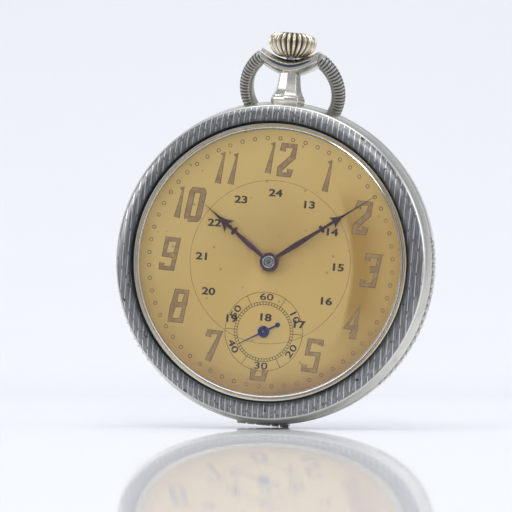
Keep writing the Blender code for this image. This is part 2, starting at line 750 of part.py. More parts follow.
def make_keyless_work():
    stem_profile = [
        (0, 16.6),
        (0.6, 16.6),
        (0.6, 18.75),
        (0.8, 18.75),
        (0.8, 18.9),
        (0.45, 18.9),
        (0.45, 19.6),
        (0.8, 19.6),
        (0.8, 33.0),
        (0, 33.0),
    ]
    stem = turned("winding_stem", stem_profile, 12, (0, 0, STEM_HEIGHT), along_stem=True)
    square = rod("stem_square", 0.58, 13.9, 16.9, steps=4, along_stem=True, helper=True)
    pilot = rod("stem_pilot", 0.3, 13.1, 14.2, steps=8, along_stem=True, helper=True)
    for piece in (square, pilot):
        piece.location.z = STEM_HEIGHT * MM
    join(stem, square, pilot)
    finish(stem, "steel")

    pinion = [fine_tooth_loop(14, 2.12, 0.6), circle(0.72, 12)]
    finish(sheet("winding_pinion", pinion, 16.85, 18.5, along_stem=True), "steel")

    clutch_profile = [
        (0, 14.5),
        (1.85, 14.5),
        (1.85, 14.9),
        (1.2, 14.9),
        (1.2, 15.8),
        (1.85, 15.8),
        (1.85, 16.6),
        (0, 16.6),
    ]
    clutch = turned("sliding_clutch", clutch_profile, 12, (0, 0, STEM_HEIGHT), along_stem=True)
    rim = [fine_tooth_loop(12, 1.7, 0.5)]
    crown_teeth = sheet("clutch_teeth", rim, 14.2, 14.7, along_stem=True, helper=True)
    bore = rod("clutch_bore", 0.68, 13, 18, steps=4, along_stem=True, helper=True)
    bore.location.z = STEM_HEIGHT * MM
    join(clutch, crown_teeth)
    cut(clutch, bore)
    finish(clutch, "steel")

    x, y = SETTING_LEVER
    nose = (-x, 19.25 - y)
    back = [(0.8, -0.3), (0.3, -0.85), (-0.6, -0.6), (-1.9, 0.95), (nose[0], nose[1] - 0.3)]
    front = [(nose[0] - 0.35, nose[1]), (nose[0], nose[1] + 0.25), (-1.6, 1.85), (0.5, 0.75)]
    lever = sheet("setting_lever", [back + front], 6.46, 6.84, SETTING_LEVER)
    nose_pin = rod("lever_nose_pin", 0.2, 5.75, 6.6, (0.0, 19.25), 8, helper=True)
    pivot = rod("lever_pivot", 0.36, 5.6, 6.6, SETTING_LEVER, 10, helper=True)
    join(lever, nose_pin, pivot)
    finish(lever, "steel")

    upper = [(-0.75, 0.1), (-0.45, 0.75), (0.3, 0.75), (0.75, 0.2), (2.3, -1.0), (4.2, -1.47)]
    lower = [(5.75, -1.47), (5.75, -1.83), (3.9, -1.83), (1.8, -1.75), (-0.4, -0.6)]
    yoke = sheet("yoke", [upper + lower], 6.46, 6.84, YOKE)
    join(yoke, rod("yoke_pivot", 0.36, 6.0, 6.6, YOKE, 10, helper=True))
    finish(yoke, "steel")


# ---------------------------------------------------------------- going train and escapement


def make_wheel(name, at, rim, windows, wheel_heights, pinion, pinion_heights, arbor, kind="brass"):
    """A wheel riveted to its pinion: a stepped arbor joined to the wheel and the pinion leaves."""
    piece = turned(name, arbor, 8, (*at, 0))
    wheel = sheet(f"{name}_rim", [rim, *windows], *wheel_heights, at, helper=True)
    join(piece, wheel)
    if pinion:
        join(piece, sheet(f"{name}_leaves", [pinion], *pinion_heights, at, helper=True))
    return finish(piece, kind)


def arbor_profile(radius, low, high, pivot, pivot_low, pivot_high):
    """A thick middle between two thin pivots."""
    lower = [(0, pivot_low), (pivot, pivot_low), (pivot, low), (radius, low)]
    upper = [(radius, high), (pivot, high), (pivot, pivot_high), (0, pivot_high)]
    return lower + upper


CENTRE_PHASE = 0.0
BARREL_PHASE = mesh_phase(9, CENTRE_PHASE, CENTRE, 72, BARREL)
THIRD_PHASE = mesh_phase(64, 0.0, CENTRE, 8, THIRD)
FOURTH_PHASE = mesh_phase(60, 0.0, THIRD, 8, FOURTH)
ESCAPE_PHASE = mesh_phase(60, 0.0, FOURTH, 6, ESCAPE)
CANNON_PHASE = 0.0
MINUTE_WHEEL_PHASE = mesh_phase(12, CANNON_PHASE, CENTRE, 36, MINUTE_WHEEL)
HOUR_PHASE = mesh_phase(10, 0.0, MINUTE_WHEEL, 40, CENTRE)
CROWN_WHEEL_PHASE = mesh_phase(44, 0.0, BARREL, 27, CROWN_WHEEL)
SETTING_PHASE = mesh_phase(36, MINUTE_WHEEL_PHASE, MINUTE_WHEEL, 33, SETTING_WHEEL)


def make_train():
    make_wheel(
        "centre_wheel", CENTRE,
        fine_tooth_loop(64, 5.6, 0.36), window_loops(4, 1.2, 4.75, 0.7), (3.55, 3.75),
        tooth_loop(9, 0.9, 0.42, CENTRE_PHASE, root=0.26, tip=0.1), (4.4, 5.1),
        arbor_profile(0.5, 3.45, 5.15, 0.3, 2.5, 8.05),
    )
    make_wheel(
        "third_wheel", THIRD,
        fine_tooth_loop(60, 4.8, 0.34), window_loops(4, 1.1, 4.05, 0.6, 20), (4.85, 5.08),
        tooth_loop(8, 0.7, 0.36, THIRD_PHASE, root=0.26, tip=0.1), (3.47, 3.85),
        arbor_profile(0.35, 3.44, 5.12, 0.16, 2.6, 6.2),
    )
    make_wheel(
        "fourth_wheel", FOURTH,
        fine_tooth_loop(60, 4.2, 0.3), window_loops(4, 1.0, 3.5, 0.5, 40), (4.3, 4.5),
        tooth_loop(8, 0.64, 0.34, FOURTH_PHASE, root=0.26, tip=0.1), (4.7, 5.1),
        arbor_profile(0.32, 3.44, 5.14, 0.16, 2.6, 8.5),
    )
    escape_teeth = []
    for k in range(15):
        middle = math.degrees(ESCAPE_WHEEL_TURN) + 24 * k
        tooth = ((2.25, -8), (2.98, -1.2), (2.98, 1.2), (2.25, -1))
        escape_teeth += [polar(radius, middle + turn) for radius, turn in tooth]
    make_wheel(
        "escape_wheel", ESCAPE,
        escape_teeth, window_loops(4, 0.7, 1.85, 0.4, 10), (4.86, 5.06),
        tooth_loop(6, 0.42, 0.3, ESCAPE_PHASE, root=0.25, tip=0.1), (4.2, 4.6),
        arbor_profile(0.24, 3.44, 5.12, 0.14, 2.6, 6.2), "steel",
    )


PALLET_WAY = math.atan2(BALANCE[1] - PALLET[1], BALANCE[0] - PALLET[0])
ESCAPE_WHEEL_TURN = PALLET_WAY + math.radians(36)


def along_lever(forward, across):
    """A point of the pallet fork: forward towards the balance, across to its left."""
    c, s = math.cos(PALLET_WAY), math.sin(PALLET_WAY)
    return (forward * c - across * s, forward * s + across * c)


def make_pallet_fork():
    horn = [(4.12, -0.62), (3.62, -0.62), (2.9, -0.28), (0.5, -0.28)]
    arm = [(0.35, -1.3), (-0.15, -1.75), (-0.92, -1.75), (-0.92, -1.35), (-0.4, -1.25)]
    right = horn + arm
    left = [(f, -a) for f, a in reversed(right)]
    slot = [(4.12, 0.34), (3.45, 0.34), (3.45, -0.34), (4.12, -0.34)]
    outline = [along_lever(*p) for p in right + left + slot]
    profile = arbor_profile(0.26, 4.7, 5.12, 0.12, 4.36, 6.1)
    fork = turned("pallet_fork", profile, 8, (*PALLET, 0))
    join(fork, sheet("pallet_lever", [outline], 4.88, 5.06, PALLET, helper=True))
    finish(fork, "steel")


def make_balance():
    rim = []
    screws = 12
    for k in range(screws):
        middle = k * 360 / screws
        half = ((6.1, -10), (6.1, -2.6), (6.5, -2.4))
        rim += [polar(radius, middle + turn) for radius, turn in half]
        rim += [polar(radius, middle - turn) for radius, turn in reversed(half)]
    windows = [
        arc(5.5, turn + 8, turn + 172, 10) + arc(1.0, turn + 140, turn + 40, 4) for turn in (0, 180)
    ]
    balance = sheet("balance_wheel", [rim, *windows, circle(0.42, 10)], 3.72, 4.14, BALANCE)
    finish(balance, "brass")
    staff = arbor_profile(0.34, 3.3, 5.1, 0.12, 2.75, 6.6)
    staff = turned("balance_staff", staff, 10, (*BALANCE, 0))
    toward_fork = along_lever(-0.85, 0)
    pin_at = (BALANCE[0] + toward_fork[0], BALANCE[1] + toward_fork[1])
    roller = rod("roller", 1.2, 4.62, 4.76, BALANCE, 16, helper=True)
    pin = rod("impulse_pin", 0.13, 4.7, 5.08, pin_at, 6, helper=True)
    join(staff, roller, pin)
    finish(staff, "steel")
    ribbon = spiral_loop(0.75, 4.3, 5, 0.1, 45)
    finish(sheet("hairspring", [ribbon], 3.38, 3.56, BALANCE), "blue_steel")
    stud_at = polar(4.72, 45, BALANCE)
    finish(rod("hairspring_stud", 0.32, 3.25, 3.66, stud_at, 10), "steel")
    lever = two_circle_loop((0, 0), 1.75, polar(5.4, 45), 0.28, 8)
    finish(sheet("regulator", [lever, circle(1.05, 14)], 2.06, 2.34, BALANCE), "steel")
    cap = [(0, 1.98), (0.7, 1.98), (0.95, 2.1), (0.95, 2.36), (0, 2.36)]
    finish(turned("balance_cap_jewel", cap, 14, (*BALANCE, 0)), "ruby")


# ---------------------------------------------------------------- motion work and hands


def make_motion_work():
    cannon = [(0.36, 6.72), (0.62, 6.72), (0.62, 8.95), (0.36, 8.95)]
    cannon = turned("cannon_pinion", cannon, 12, ring=True)
    leaves = [tooth_loop(12, 1.1, 0.36, CANNON_PHASE, root=0.28, tip=0.1), circle(0.5, 12)]
    join(cannon, sheet("cannon_leaves", leaves, 6.76, 7.08, helper=True))
    finish(cannon, "steel")
    make_wheel(
        "minute_wheel", MINUTE_WHEEL,
        fine_tooth_loop(36, 3.3, 0.34, MINUTE_WHEEL_PHASE), [], (6.8, 7.0),
        tooth_loop(10, 0.88, 0.34, 0.0, root=0.26, tip=0.1), (6.95, 7.45),
        [(0, 6.72), (0.4, 6.72), (0.4, 7.47), (0, 7.47)],
    )
    hour = [(0.7, 7.12), (1.05, 7.12), (1.05, 8.66), (0.7, 8.66)]
    hour = turned("hour_wheel", hour, 14, ring=True)
    rim = [fine_tooth_loop(40, 3.52, 0.32, HOUR_PHASE), circle(0.85, 14)]
    join(hour, sheet("hour_rim", rim, 7.16, 7.36, helper=True))
    finish(hour, "brass")
    setting = [fine_tooth_loop(33, 3.0, 0.32, SETTING_PHASE), circle(0.5, 12)]
    finish(sheet("setting_wheel", setting, 6.8, 7.0, SETTING_WHEEL), "steel")


def dial_way(turns):
    """The angle from 3 o'clock of a hand that has turned this far clockwise from 12."""
    return 90 - 360 * turns


def hand_outline(length, way, hub, body, swell_at, barb_at, barb):
    """Half widths along a hand, mirrored: hub, a long swelling body, a barbed head, a needle tip."""
    reach = [
        (hub * 0.95, hub * 0.3),
        (swell_at * length, body),
        (barb_at * length - 0.5, body * 0.45),
        (barb_at * length - 0.25, barb * 0.75),
        (barb_at * length, body * 0.4),
        (barb_at * length + 0.25, barb),
        (barb_at * length + 1.9, 0.14),
        (length, 0.05),
    ]
    side = math.radians(way)
    c, s = math.cos(side), math.sin(side)
    right = [(f * c + a * s, f * s - a * c) for f, a in reach]
    left = [(f * c - a * s, f * s + a * c) for f, a in reversed(reach)]
    start = math.degrees(math.atan2(hub * 0.3, hub * 0.95))
    around = arc(hub, way + start + 12, way + 360 - start - 12, 13)
    return right + left + around


def make_hands():
    hour_way = dial_way(HOURS / 12)
    minute_way = dial_way(MINUTES / 60)
    hour = [hand_outline(14.1, hour_way, 1.5, 0.62, 0.28, 0.56, 0.85), circle(1.1, 16)]
    finish(sheet("hour_hand", hour, 8.36, 8.5), "purple_steel")
    minute = [hand_outline(19.2, minute_way, 1.15, 0.55, 0.28, 0.62, 0.75), circle(0.66, 14)]
    finish(sheet("minute_hand", minute, 8.66, 8.8), "purple_steel")
    way = dial_way(SECONDS / 60)
    needle = [polar(r, way + a) for r, a in ((0.6, 15), (4.4, 0.8), (4.4, -0.8), (0.6, -15))]
    hub = arc(0.6, way - 30, way - 165, 6)
    weight_at = polar(2.5, way + 180)
    weight = arc(0.5, way + 320, way + 40, 10, weight_at)
    outline = needle + hub + weight + arc(0.6, way + 165, way + 30, 6)
    finish(sheet("seconds_hand", [outline, circle(0.2, 8)], 8.1, 8.22, FOURTH), "blue_steel")


make_case_middle()
make_bezel()
make_crystal()
make_back_cover()
make_cuvette()
make_hinge_pin()
make_pendant()
make_bow()
make_crown()
make_main_plate()
make_dial()
make_barrel_bridge()
make_train_bridge()
make_jewel("third_wheel_jewel", THIRD)
make_jewel("fourth_wheel_jewel", FOURTH)
make_jewel("escape_wheel_jewel", ESCAPE)
make_balance_cock()
make_pallet_cock()
make_screws()
make_barrel()
make_winding_wheels()
make_click()
make_keyless_work()
make_train()
make_pallet_fork()
make_balance()
make_motion_work()
make_hands()
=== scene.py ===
# %% [markdown]
# # An open face pocket watch
#
# The frame holds every working part of the watch at its true size. These cells dress it: pieces that
# show a fine surface (case, bezel, glass, dial, hands, crown and bow) are modelled again in detail
# and stand for their plain parts, and the movement keeps its shapes and gets real metal finishes.
#
# In the world the watch stands on its rim: X runs to 3 o'clock, Z to 12 o'clock, the dial faces -Y.
# Positions below are written the way a watchmaker lays the watch down: x, y on the dial and the
# height above the flat of the back.

# %% Tools, frame and measures
import json
import math

import bpy
from mathutils import Matrix, Vector


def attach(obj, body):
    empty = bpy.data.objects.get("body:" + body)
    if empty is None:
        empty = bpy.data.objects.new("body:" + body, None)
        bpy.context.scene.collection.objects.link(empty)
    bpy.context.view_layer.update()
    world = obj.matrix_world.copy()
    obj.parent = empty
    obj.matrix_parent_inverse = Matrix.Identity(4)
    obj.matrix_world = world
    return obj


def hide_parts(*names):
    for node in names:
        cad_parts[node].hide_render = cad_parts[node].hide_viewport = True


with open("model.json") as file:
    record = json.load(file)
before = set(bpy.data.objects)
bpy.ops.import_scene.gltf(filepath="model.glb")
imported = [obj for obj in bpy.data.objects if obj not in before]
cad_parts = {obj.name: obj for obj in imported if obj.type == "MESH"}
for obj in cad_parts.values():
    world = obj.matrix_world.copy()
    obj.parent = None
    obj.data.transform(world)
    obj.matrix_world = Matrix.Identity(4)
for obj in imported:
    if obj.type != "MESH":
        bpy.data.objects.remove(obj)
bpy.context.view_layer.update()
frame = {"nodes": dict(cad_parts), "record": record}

MM = 0.001
STEM_HEIGHT = 5.2
DIAL_TOP = 8.0
CASE_BODY = "case_and_movement"
SECONDS_Y = -10.5
BOW_PIVOT_Y = 31.1


def on_watch(x, y, height):
    """A point given on the dial and above the back, in millimetres, as a place in the world."""
    return Vector((x, -height, y)) * MM


# %% [markdown]
# ## Drawing and turning
#
# Nearly every part of a watch case comes off a lathe. The same is done here: one point is extruded
# from place to place to draw the profile, and the line is spun round the watch's axis, or round the
# winding stem's. Drawing by extrusion keeps each corner where the turner's tool would leave it.

# %% The drawing and turning tools
bpy.context.scene.tool_settings.mesh_select_mode = (True, False, False)


def draw(name, points):
    """Draws a line by extruding one point, and leaves it selected in edit mode."""
    bpy.ops.object.select_all(action="DESELECT")
    bpy.ops.mesh.primitive_plane_add(size=MM, location=points[0])
    piece = bpy.context.object
    piece.name = piece.data.name = name
    bpy.ops.object.mode_set(mode="EDIT")
    bpy.ops.mesh.merge(type="CENTER")
    for here, there in zip(points, points[1:]):
        bpy.ops.mesh.extrude_region_move(TRANSFORM_OT_translate={"value": there - here})
    bpy.ops.mesh.select_all(action="SELECT")
    return piece


def settle(piece, smooth_deg=35):
    """Closes seams, points the faces out and puts the piece's place in its mesh."""
    if bpy.context.mode != "EDIT_MESH":
        bpy.ops.object.mode_set(mode="EDIT")
    bpy.ops.mesh.select_all(action="SELECT")
    bpy.ops.mesh.remove_doubles(threshold=2e-6)
    bpy.ops.mesh.normals_make_consistent(inside=False)
    bpy.ops.object.mode_set(mode="OBJECT")
    bpy.ops.object.transform_apply(location=True, rotation=True, scale=True)
    bpy.ops.object.shade_smooth_by_angle(angle=math.radians(smooth_deg))
    return piece


def turn(name, profile, steps, centre=(0, 0), closed=False, smooth_deg=35):
    """Turns a profile of (radius, height) round an axis through the dial at centre."""
    x, y = centre
    points = [on_watch(x + r, y, h) for r, h in profile]
    piece = draw(name, points + points[:1] if closed else points)
    bpy.ops.mesh.spin(steps=steps, angle=2 * math.pi, center=on_watch(x, y, 0), axis=(0, 1, 0))
    return settle(piece, smooth_deg)


def turn_on_stem(name, profile, steps, smooth_deg=35):
    """Turns a profile of (radius, y) round the winding stem."""
    piece = draw(name, [on_watch(r, y, STEM_HEIGHT) for r, y in profile])
    axis_foot = on_watch(0, 0, STEM_HEIGHT)
    bpy.ops.mesh.spin(steps=steps, angle=2 * math.pi, center=axis_foot, axis=(0, 0, 1))
    return settle(piece, smooth_deg)


def press(piece, chosen, factors, centre, hollow=0.0):
    """Scales the points that chosen picks towards centre, as a knurling wheel presses metal.

    hollow is how much tarnish stays there, kept on the points for the finish to read.
    """
    marks = piece.data.attributes.get("hollow")
    if marks is None:
        marks = piece.data.attributes.new("hollow", "FLOAT", "POINT")
    picked = [chosen(vertex.co) for vertex in piece.data.vertices]
    for mark, pick in zip(marks.data, picked):
        if pick:
            mark.value = hollow
    bpy.ops.object.select_all(action="DESELECT")
    bpy.context.view_layer.objects.active = piece
    piece.select_set(True)
    bpy.ops.object.mode_set(mode="EDIT")
    bpy.ops.mesh.select_all(action="DESELECT")
    bpy.ops.object.mode_set(mode="OBJECT")
    for vertex, pick in zip(piece.data.vertices, picked):
        vertex.select = pick
    bpy.ops.object.mode_set(mode="EDIT")
    bpy.ops.transform.resize(value=factors, center_override=centre)
    bpy.ops.object.mode_set(mode="OBJECT")


def column_of(across, along, columns, group):
    """Which column of its group of points a place lies on, counted round the turning axis."""
    return round(math.atan2(across, along) / (2 * math.pi) * columns) % group


def round_edges(piece, width, segments):
    """Rounds the edges sharper than 30 degrees, as polishing and wear do."""
    bevel = piece.modifiers.new("round_edges", "BEVEL")
    bevel.width = width * MM
    bevel.segments = segments
    bevel.limit_method = "ANGLE"
    bevel.angle_limit = math.radians(30)
    bpy.ops.object.modifier_apply(modifier=bevel.name)


def weld(name, pieces):
    """Joins several meshes in one object, as parts soldered together."""
    bpy.ops.object.select_all(action="DESELECT")
    for piece in pieces:
        piece.select_set(True)
    bpy.context.view_layer.objects.active = pieces[0]
    if len(pieces) > 1:
        bpy.ops.object.join()
    joined = bpy.context.view_layer.objects.active
    joined.name = joined.data.name = name
    return joined


def turn_mesh(piece, centre, angle, axis="Y"):
    """Turns a finished piece's mesh about an axis through centre."""
    pivot = Matrix.Translation(centre)
    piece.data.transform(pivot @ Matrix.Rotation(angle, 4, axis) @ pivot.inverted())


def report(piece):
    """Prints a piece's size in faces and hands it on."""
    print(f"{piece.name}: {len(piece.data.polygons)} faces")
    return piece


# %% [markdown]
# ## Finishes
#
# Each finish is one node material. Colours are written as the eye meets them, in sRGB, and one
# function turns them to the linear light that Blender works in. A second small function adds a node
# with its settings and links, so that a material reads from top to bottom as a list.

# %% The colour and node tools
def srgb(code):
    """An sRGB hex colour as linear RGBA."""
    values = [int(code[i : i + 2], 16) / 255 for i in (0, 2, 4)]
    linear = [v / 12.92 if v <= 0.04045 else ((v + 0.055) / 1.055) ** 2.4 for v in values]
    return (*linear, 1.0)


def add(tree, kind, inputs=None, **settings):
    """Adds a node. An input is a value, a socket, or a node, which gives its first output."""
    node = tree.nodes.new("ShaderNode" + kind)
    for name, value in settings.items():
        setattr(node, name, value)
    for name, value in (inputs or {}).items():
        if isinstance(value, bpy.types.Node):
            value = value.outputs[0]
        if isinstance(value, bpy.types.NodeSocket):
            tree.links.new(value, node.inputs[name])
        else:
            node.inputs[name].default_value = value
    return node


def ramp_stops(node, stops):
    """Sets a colour ramp's stops: (position, linear colour)."""
    elements = node.color_ramp.elements
    while len(elements) > 1:
        elements.remove(elements[0])
    elements[0].position, elements[0].color = stops[0]
    for position, colour in stops[1:]:
        elements.new(position).color = colour
    return node.outputs["Color"]


def start(name):
    """An empty material with its shader, and the place on the piece in metres."""
    material = bpy.data.materials.new(name)
    material.use_nodes = True
    tree = material.node_tree
    shader = tree.nodes["Principled BSDF"]
    place = add(tree, "TexCoord").outputs["Object"]
    return material, tree, shader, place


def coat(tree, shader, colour, rough, bump, metallic):
    """Leads a finish's mixed colour, roughness and bump to its shader."""
    tree.links.new(colour.outputs[2], shader.inputs["Base Color"])
    tree.links.new(rough.outputs[0], shader.inputs["Roughness"])
    tree.links.new(bump.outputs[0], shader.inputs["Normal"])
    shader.inputs["Metallic"].default_value = metallic


# %% [markdown]
# ### Silver
#
# The case is 0.800 silver, polished and then handled for a century. Silver reflects nearly all light
# with a faint warmth, hairline scratches blur it, and a thin brown-grey sulphide tarnish stays where
# a thumb doesn't rub, in the roots of ribs and corners. Pointiness tells a corner from a ridge, and
# the pressed ribs carry their own mark of how deep each point lies.

# %% Silver of the case
def silver_finish(name, bright, tarnish, root, roughness):
    """Polished silver. root is how readily hollows stay tarnished, from 0 to 1."""
    material, tree, shader, place = start(name)
    cloud = add(tree, "TexNoise", {"Vector": place, "Scale": 260.0, "Detail": 6.0})
    scratch_way = add(tree, "Mapping", {"Vector": place, "Scale": (1.0, 1.0, 9.0)})
    scratches = add(tree, "TexNoise", {"Vector": scratch_way, "Scale": 1400.0, "Detail": 3.0})
    bend = add(tree, "NewGeometry").outputs["Pointiness"]
    hollow = add(tree, "MapRange", {"Value": bend, "From Min": 0.5 - 0.02 * root, "From Max": 0.42})
    stain_and_caustic_light = add(tree, "MapRange", {"Value": cloud, "From Min": 0.5, "From Max": 0.8, "To Max": 0.22})
    pressed = add(tree, "Attribute", attribute_name="hollow").outputs["Fac"]
    both = add(tree, "Math", {0: hollow, 1: pressed}, operation="MAXIMUM")
    both = add(tree, "Math", {0: both, 1: stain_and_caustic_light}, operation="MAXIMUM")
    colour = add(tree, "Mix", {"Factor": both, 6: srgb(bright), 7: srgb(tarnish)}, data_type="RGBA")
    rough = add(
        tree, "MapRange", {"Value": cloud, "To Min": roughness - 0.07, "To Max": roughness + 0.16}
    )
    worn = add(tree, "Math", {0: both, 1: 0.3, 2: rough}, operation="MULTIPLY_ADD")
    bump = add(tree, "Bump", {"Height": scratches, "Strength": 0.06, "Distance": 0.00005})
    coat(tree, shader, colour, worn, bump, 1.0)
    return material


case_silver = silver_finish("polished_800_silver", "D8D5CC", "4A443B", 0.35, 0.17)
bow_silver = silver_finish("handled_ribbed_silver", "A9A7A1", "211F1E", 1.0, 0.27)
crown_silver = silver_finish("warm_fluted_silver", "DCD2BD", "17110C", 1.0, 0.2)

# %% [markdown]
# ### Niello
#
# The bezel is silver blackened with niello, a dark glassy sulphide rubbed into engraved work. Bright
# lines are left standing in it: dashes about 3 mm long, side by side at 0.85 mm and staggered, all
# upright. Between them run finer grey strokes. The polished rim and lip and the cove beside the
# glass, painted near-black as shade, belong to the same ring, so one material tells them apart by
# the distance to the centre.

# %% Niello of the bezel
niello, tree, shader, place = start("ruled_niello_silver")
parts = add(tree, "SeparateXYZ", {"Vector": place})
flat = add(tree, "CombineXYZ", {"X": parts.outputs["X"], "Z": parts.outputs["Z"]})
radius = add(tree, "VectorMath", {0: flat}, operation="LENGTH").outputs["Value"]
LINE_GAP = 0.85 * MM
DASH_STEP = 3.6 * MM
POLISHED_LIP = 20.9 * MM
SHADED_COVE_EDGE = (21.75 * MM, 21.2 * MM)
POLISHED_RIM = 23.47 * MM
column = add(tree, "Math", {0: parts.outputs["X"], 1: LINE_GAP}, operation="DIVIDE")
number = add(tree, "Math", {0: column}, operation="FLOOR")
across = add(tree, "Math", {0: column}, operation="FRACT")
off_line = add(tree, "Math", {0: across, 1: 0.5}, operation="SUBTRACT")
off_line = add(tree, "Math", {0: off_line}, operation="ABSOLUTE")
on_line = add(tree, "MapRange", {"Value": off_line, "From Min": 0.09, "From Max": 0.035})
shift = add(tree, "Math", {0: number, 1: 0.382}, operation="MULTIPLY")
along = add(tree, "Math", {0: parts.outputs["Z"], 1: DASH_STEP}, operation="DIVIDE")
along = add(tree, "Math", {0: along, 1: shift}, operation="ADD")
along = add(tree, "Math", {0: along}, operation="FRACT")
in_dash = add(tree, "Math", {0: along, 1: 0.88}, operation="LESS_THAN")
dash = add(tree, "Math", {0: on_line, 1: in_dash}, operation="MULTIPLY")
stroke_way = add(tree, "Mapping", {"Vector": place, "Scale": (1.0, 1.0, 0.06)})
strokes = add(tree, "TexNoise", {"Vector": stroke_way, "Scale": 5200.0, "Detail": 2.0})
pits = add(tree, "TexNoise", {"Vector": place, "Scale": 900.0, "Detail": 4.0})
pitted = add(tree, "MapRange", {"Value": pits, "From Min": 0.66, "From Max": 0.72})
ground = add(tree, "ValToRGB", {"Fac": strokes})
ground_colour = ramp_stops(
    ground, [(0.35, srgb("6E6F71")), (0.5, srgb("7F8082")), (0.68, srgb("989A9B"))]
)
lined = add(tree, "Mix", {"Factor": dash, 6: ground_colour, 7: srgb("D3D5D6")}, data_type="RGBA")
worn = add(tree, "Mix", {"Factor": pitted, 6: lined.outputs[2], 7: srgb("2B2A2A")}, data_type="RGBA")
# Painted shade: the cove beside the glass is coloured near-black, standing in for the shade and dark
# reflection on its inward slope.
in_painted_cove_shade = add(tree, "MapRange", {"Value": radius, "From Min": SHADED_COVE_EDGE[0], "From Max": SHADED_COVE_EDGE[1]})
outside = add(tree, "Math", {0: radius, 1: POLISHED_RIM}, operation="GREATER_THAN")
inside = add(tree, "Math", {0: radius, 1: POLISHED_LIP}, operation="LESS_THAN")
on_rim = add(tree, "Math", {0: outside, 1: inside}, operation="ADD")
with_cove_shade = add(
    tree, "Mix", {"Factor": in_painted_cove_shade, 6: worn.outputs[2], 7: srgb("262B29")}, data_type="RGBA"
)
with_rim = add(
    tree, "Mix", {"Factor": on_rim, 6: with_cove_shade.outputs[2], 7: srgb("D8D6D0")}, data_type="RGBA"
)
rough = add(tree, "MapRange", {"Value": strokes, "To Min": 0.22, "To Max": 0.42})
height = add(tree, "Math", {0: dash, 1: strokes}, operation="ADD")
bump = add(tree, "Bump", {"Height": height, "Strength": 0.12, "Distance": 0.00003})
coat(tree, shader, with_rim, rough, bump, 0.85)

# %% [markdown]
# ### Gilt dial
#
# The dial is brass with a matt gilt coat under old lacquer. The lacquer has browned towards the edge
# and in soft blotches, most of all at the foot, fine pinholes show the darker metal, and the grained
# surface scatters light. Distances from two points drive it: one a little above the centre for the
# browning where damp creeps in, one far to the left for an amber band on the right, painted light
# that stands in for the light the glass's edge bends onto the dial.

# %% Gilt of the dial
gilt, tree, shader, place = start("aged_matt_gilt")
parts = add(tree, "SeparateXYZ", {"Vector": place})
flat = add(tree, "CombineXYZ", {"X": parts.outputs["X"], "Z": parts.outputs["Z"]})
damp = add(tree, "VectorMath", {0: flat, 1: (-0.6 * MM, 0.0, 2.2 * MM)}, operation="DISTANCE")
blotch = add(tree, "TexNoise", {"Vector": place, "Scale": 95.0, "Detail": 7.0})
blotch_size = add(tree, "Math", {0: blotch, 1: 0.006, 2: damp.outputs["Value"]}, operation="MULTIPLY_ADD")
edge = add(tree, "MapRange", {"Value": blotch_size, "From Min": 20.4 * MM, "From Max": 26.2 * MM})
aged = add(tree, "ValToRGB", {"Fac": edge})
aged_colour = ramp_stops(
    aged, [(0.0, srgb("D6B770")), (0.4, srgb("CBAA64")), (0.75, srgb("AD8852")), (1.0, srgb("7F5C44"))]
)
tint = add(tree, "TexNoise", {"Vector": place, "Scale": 38.0, "Detail": 3.0})
tint_amount = add(tree, "MapRange", {"Value": tint, "From Min": 0.45, "From Max": 0.7, "To Max": 0.45})
tinted = add(tree, "Mix", {"Factor": tint_amount, 6: aged_colour, 7: srgb("BC954B")}, data_type="RGBA")
specks = add(tree, "TexVoronoi", {"Vector": place, "Scale": 420.0})
speck = add(tree, "MapRange", {"Value": specks, "From Min": 0.11, "From Max": 0.05, "To Max": 0.55})
speckled = add(
    tree, "Mix", {"Factor": speck, 6: tinted.outputs[2], 7: srgb("7C5B33")}, data_type="RGBA"
)
# Painted light: an amber band on the right of the dial stands in for light that the glass's edge bends
# onto it, and it fades towards the top and the bottom.
caustic_reach = add(tree, "VectorMath", {0: flat, 1: (-15.0 * MM, 0.0, -1.5 * MM)}, operation="DISTANCE")
caustic_edge = add(tree, "Math", {0: tint, 1: 0.0016, 2: caustic_reach.outputs["Value"]}, operation="MULTIPLY_ADD")
caustic_band = add(
    tree, "MapRange", {"Value": caustic_edge, "From Min": 28.2 * MM, "From Max": 28.9 * MM, "To Max": 0.95}
)
caustic_falloff = add(
    tree,
    "MapRange",
    {"Value": caustic_edge, "From Min": 30.6 * MM, "From Max": 34.0 * MM, "To Min": 1, "To Max": 0.2},
)
stain_and_caustic_light = add(tree, "Math", {0: caustic_band, 1: caustic_falloff}, operation="MULTIPLY")
above = add(tree, "Math", {0: parts.outputs["Z"]}, operation="ABSOLUTE")
caustic_fade = add(
    tree,
    "MapRange",
    {"Value": above, "From Min": 6.0 * MM, "From Max": 13.0 * MM, "To Min": 1.0, "To Max": 0.0},
)
stain_and_caustic_light = add(tree, "Math", {0: stain_and_caustic_light, 1: caustic_fade}, operation="MULTIPLY")
dial_colour = add(
    tree, "Mix", {"Factor": stain_and_caustic_light, 6: speckled.outputs[2], 7: srgb("AE8635")}, data_type="RGBA"
)
grain = add(tree, "TexNoise", {"Vector": place, "Scale": 5000.0, "Detail": 2.0})
bump = add(tree, "Bump", {"Height": grain, "Strength": 0.12, "Distance": 0.00003})
rough = add(tree, "MapRange", {"Value": blotch, "To Min": 0.42, "To Max": 0.62})
coat(tree, shader, dial_colour, rough, bump, 0.35)

# %% [markdown]
# ### Printed paint
#
# Everything on the dial is pad-printed paint a few hundredths of a millimetre thick. The radium-brown
# hour figures have faded and gone patchy inside a darker outline; the small figures are still black.

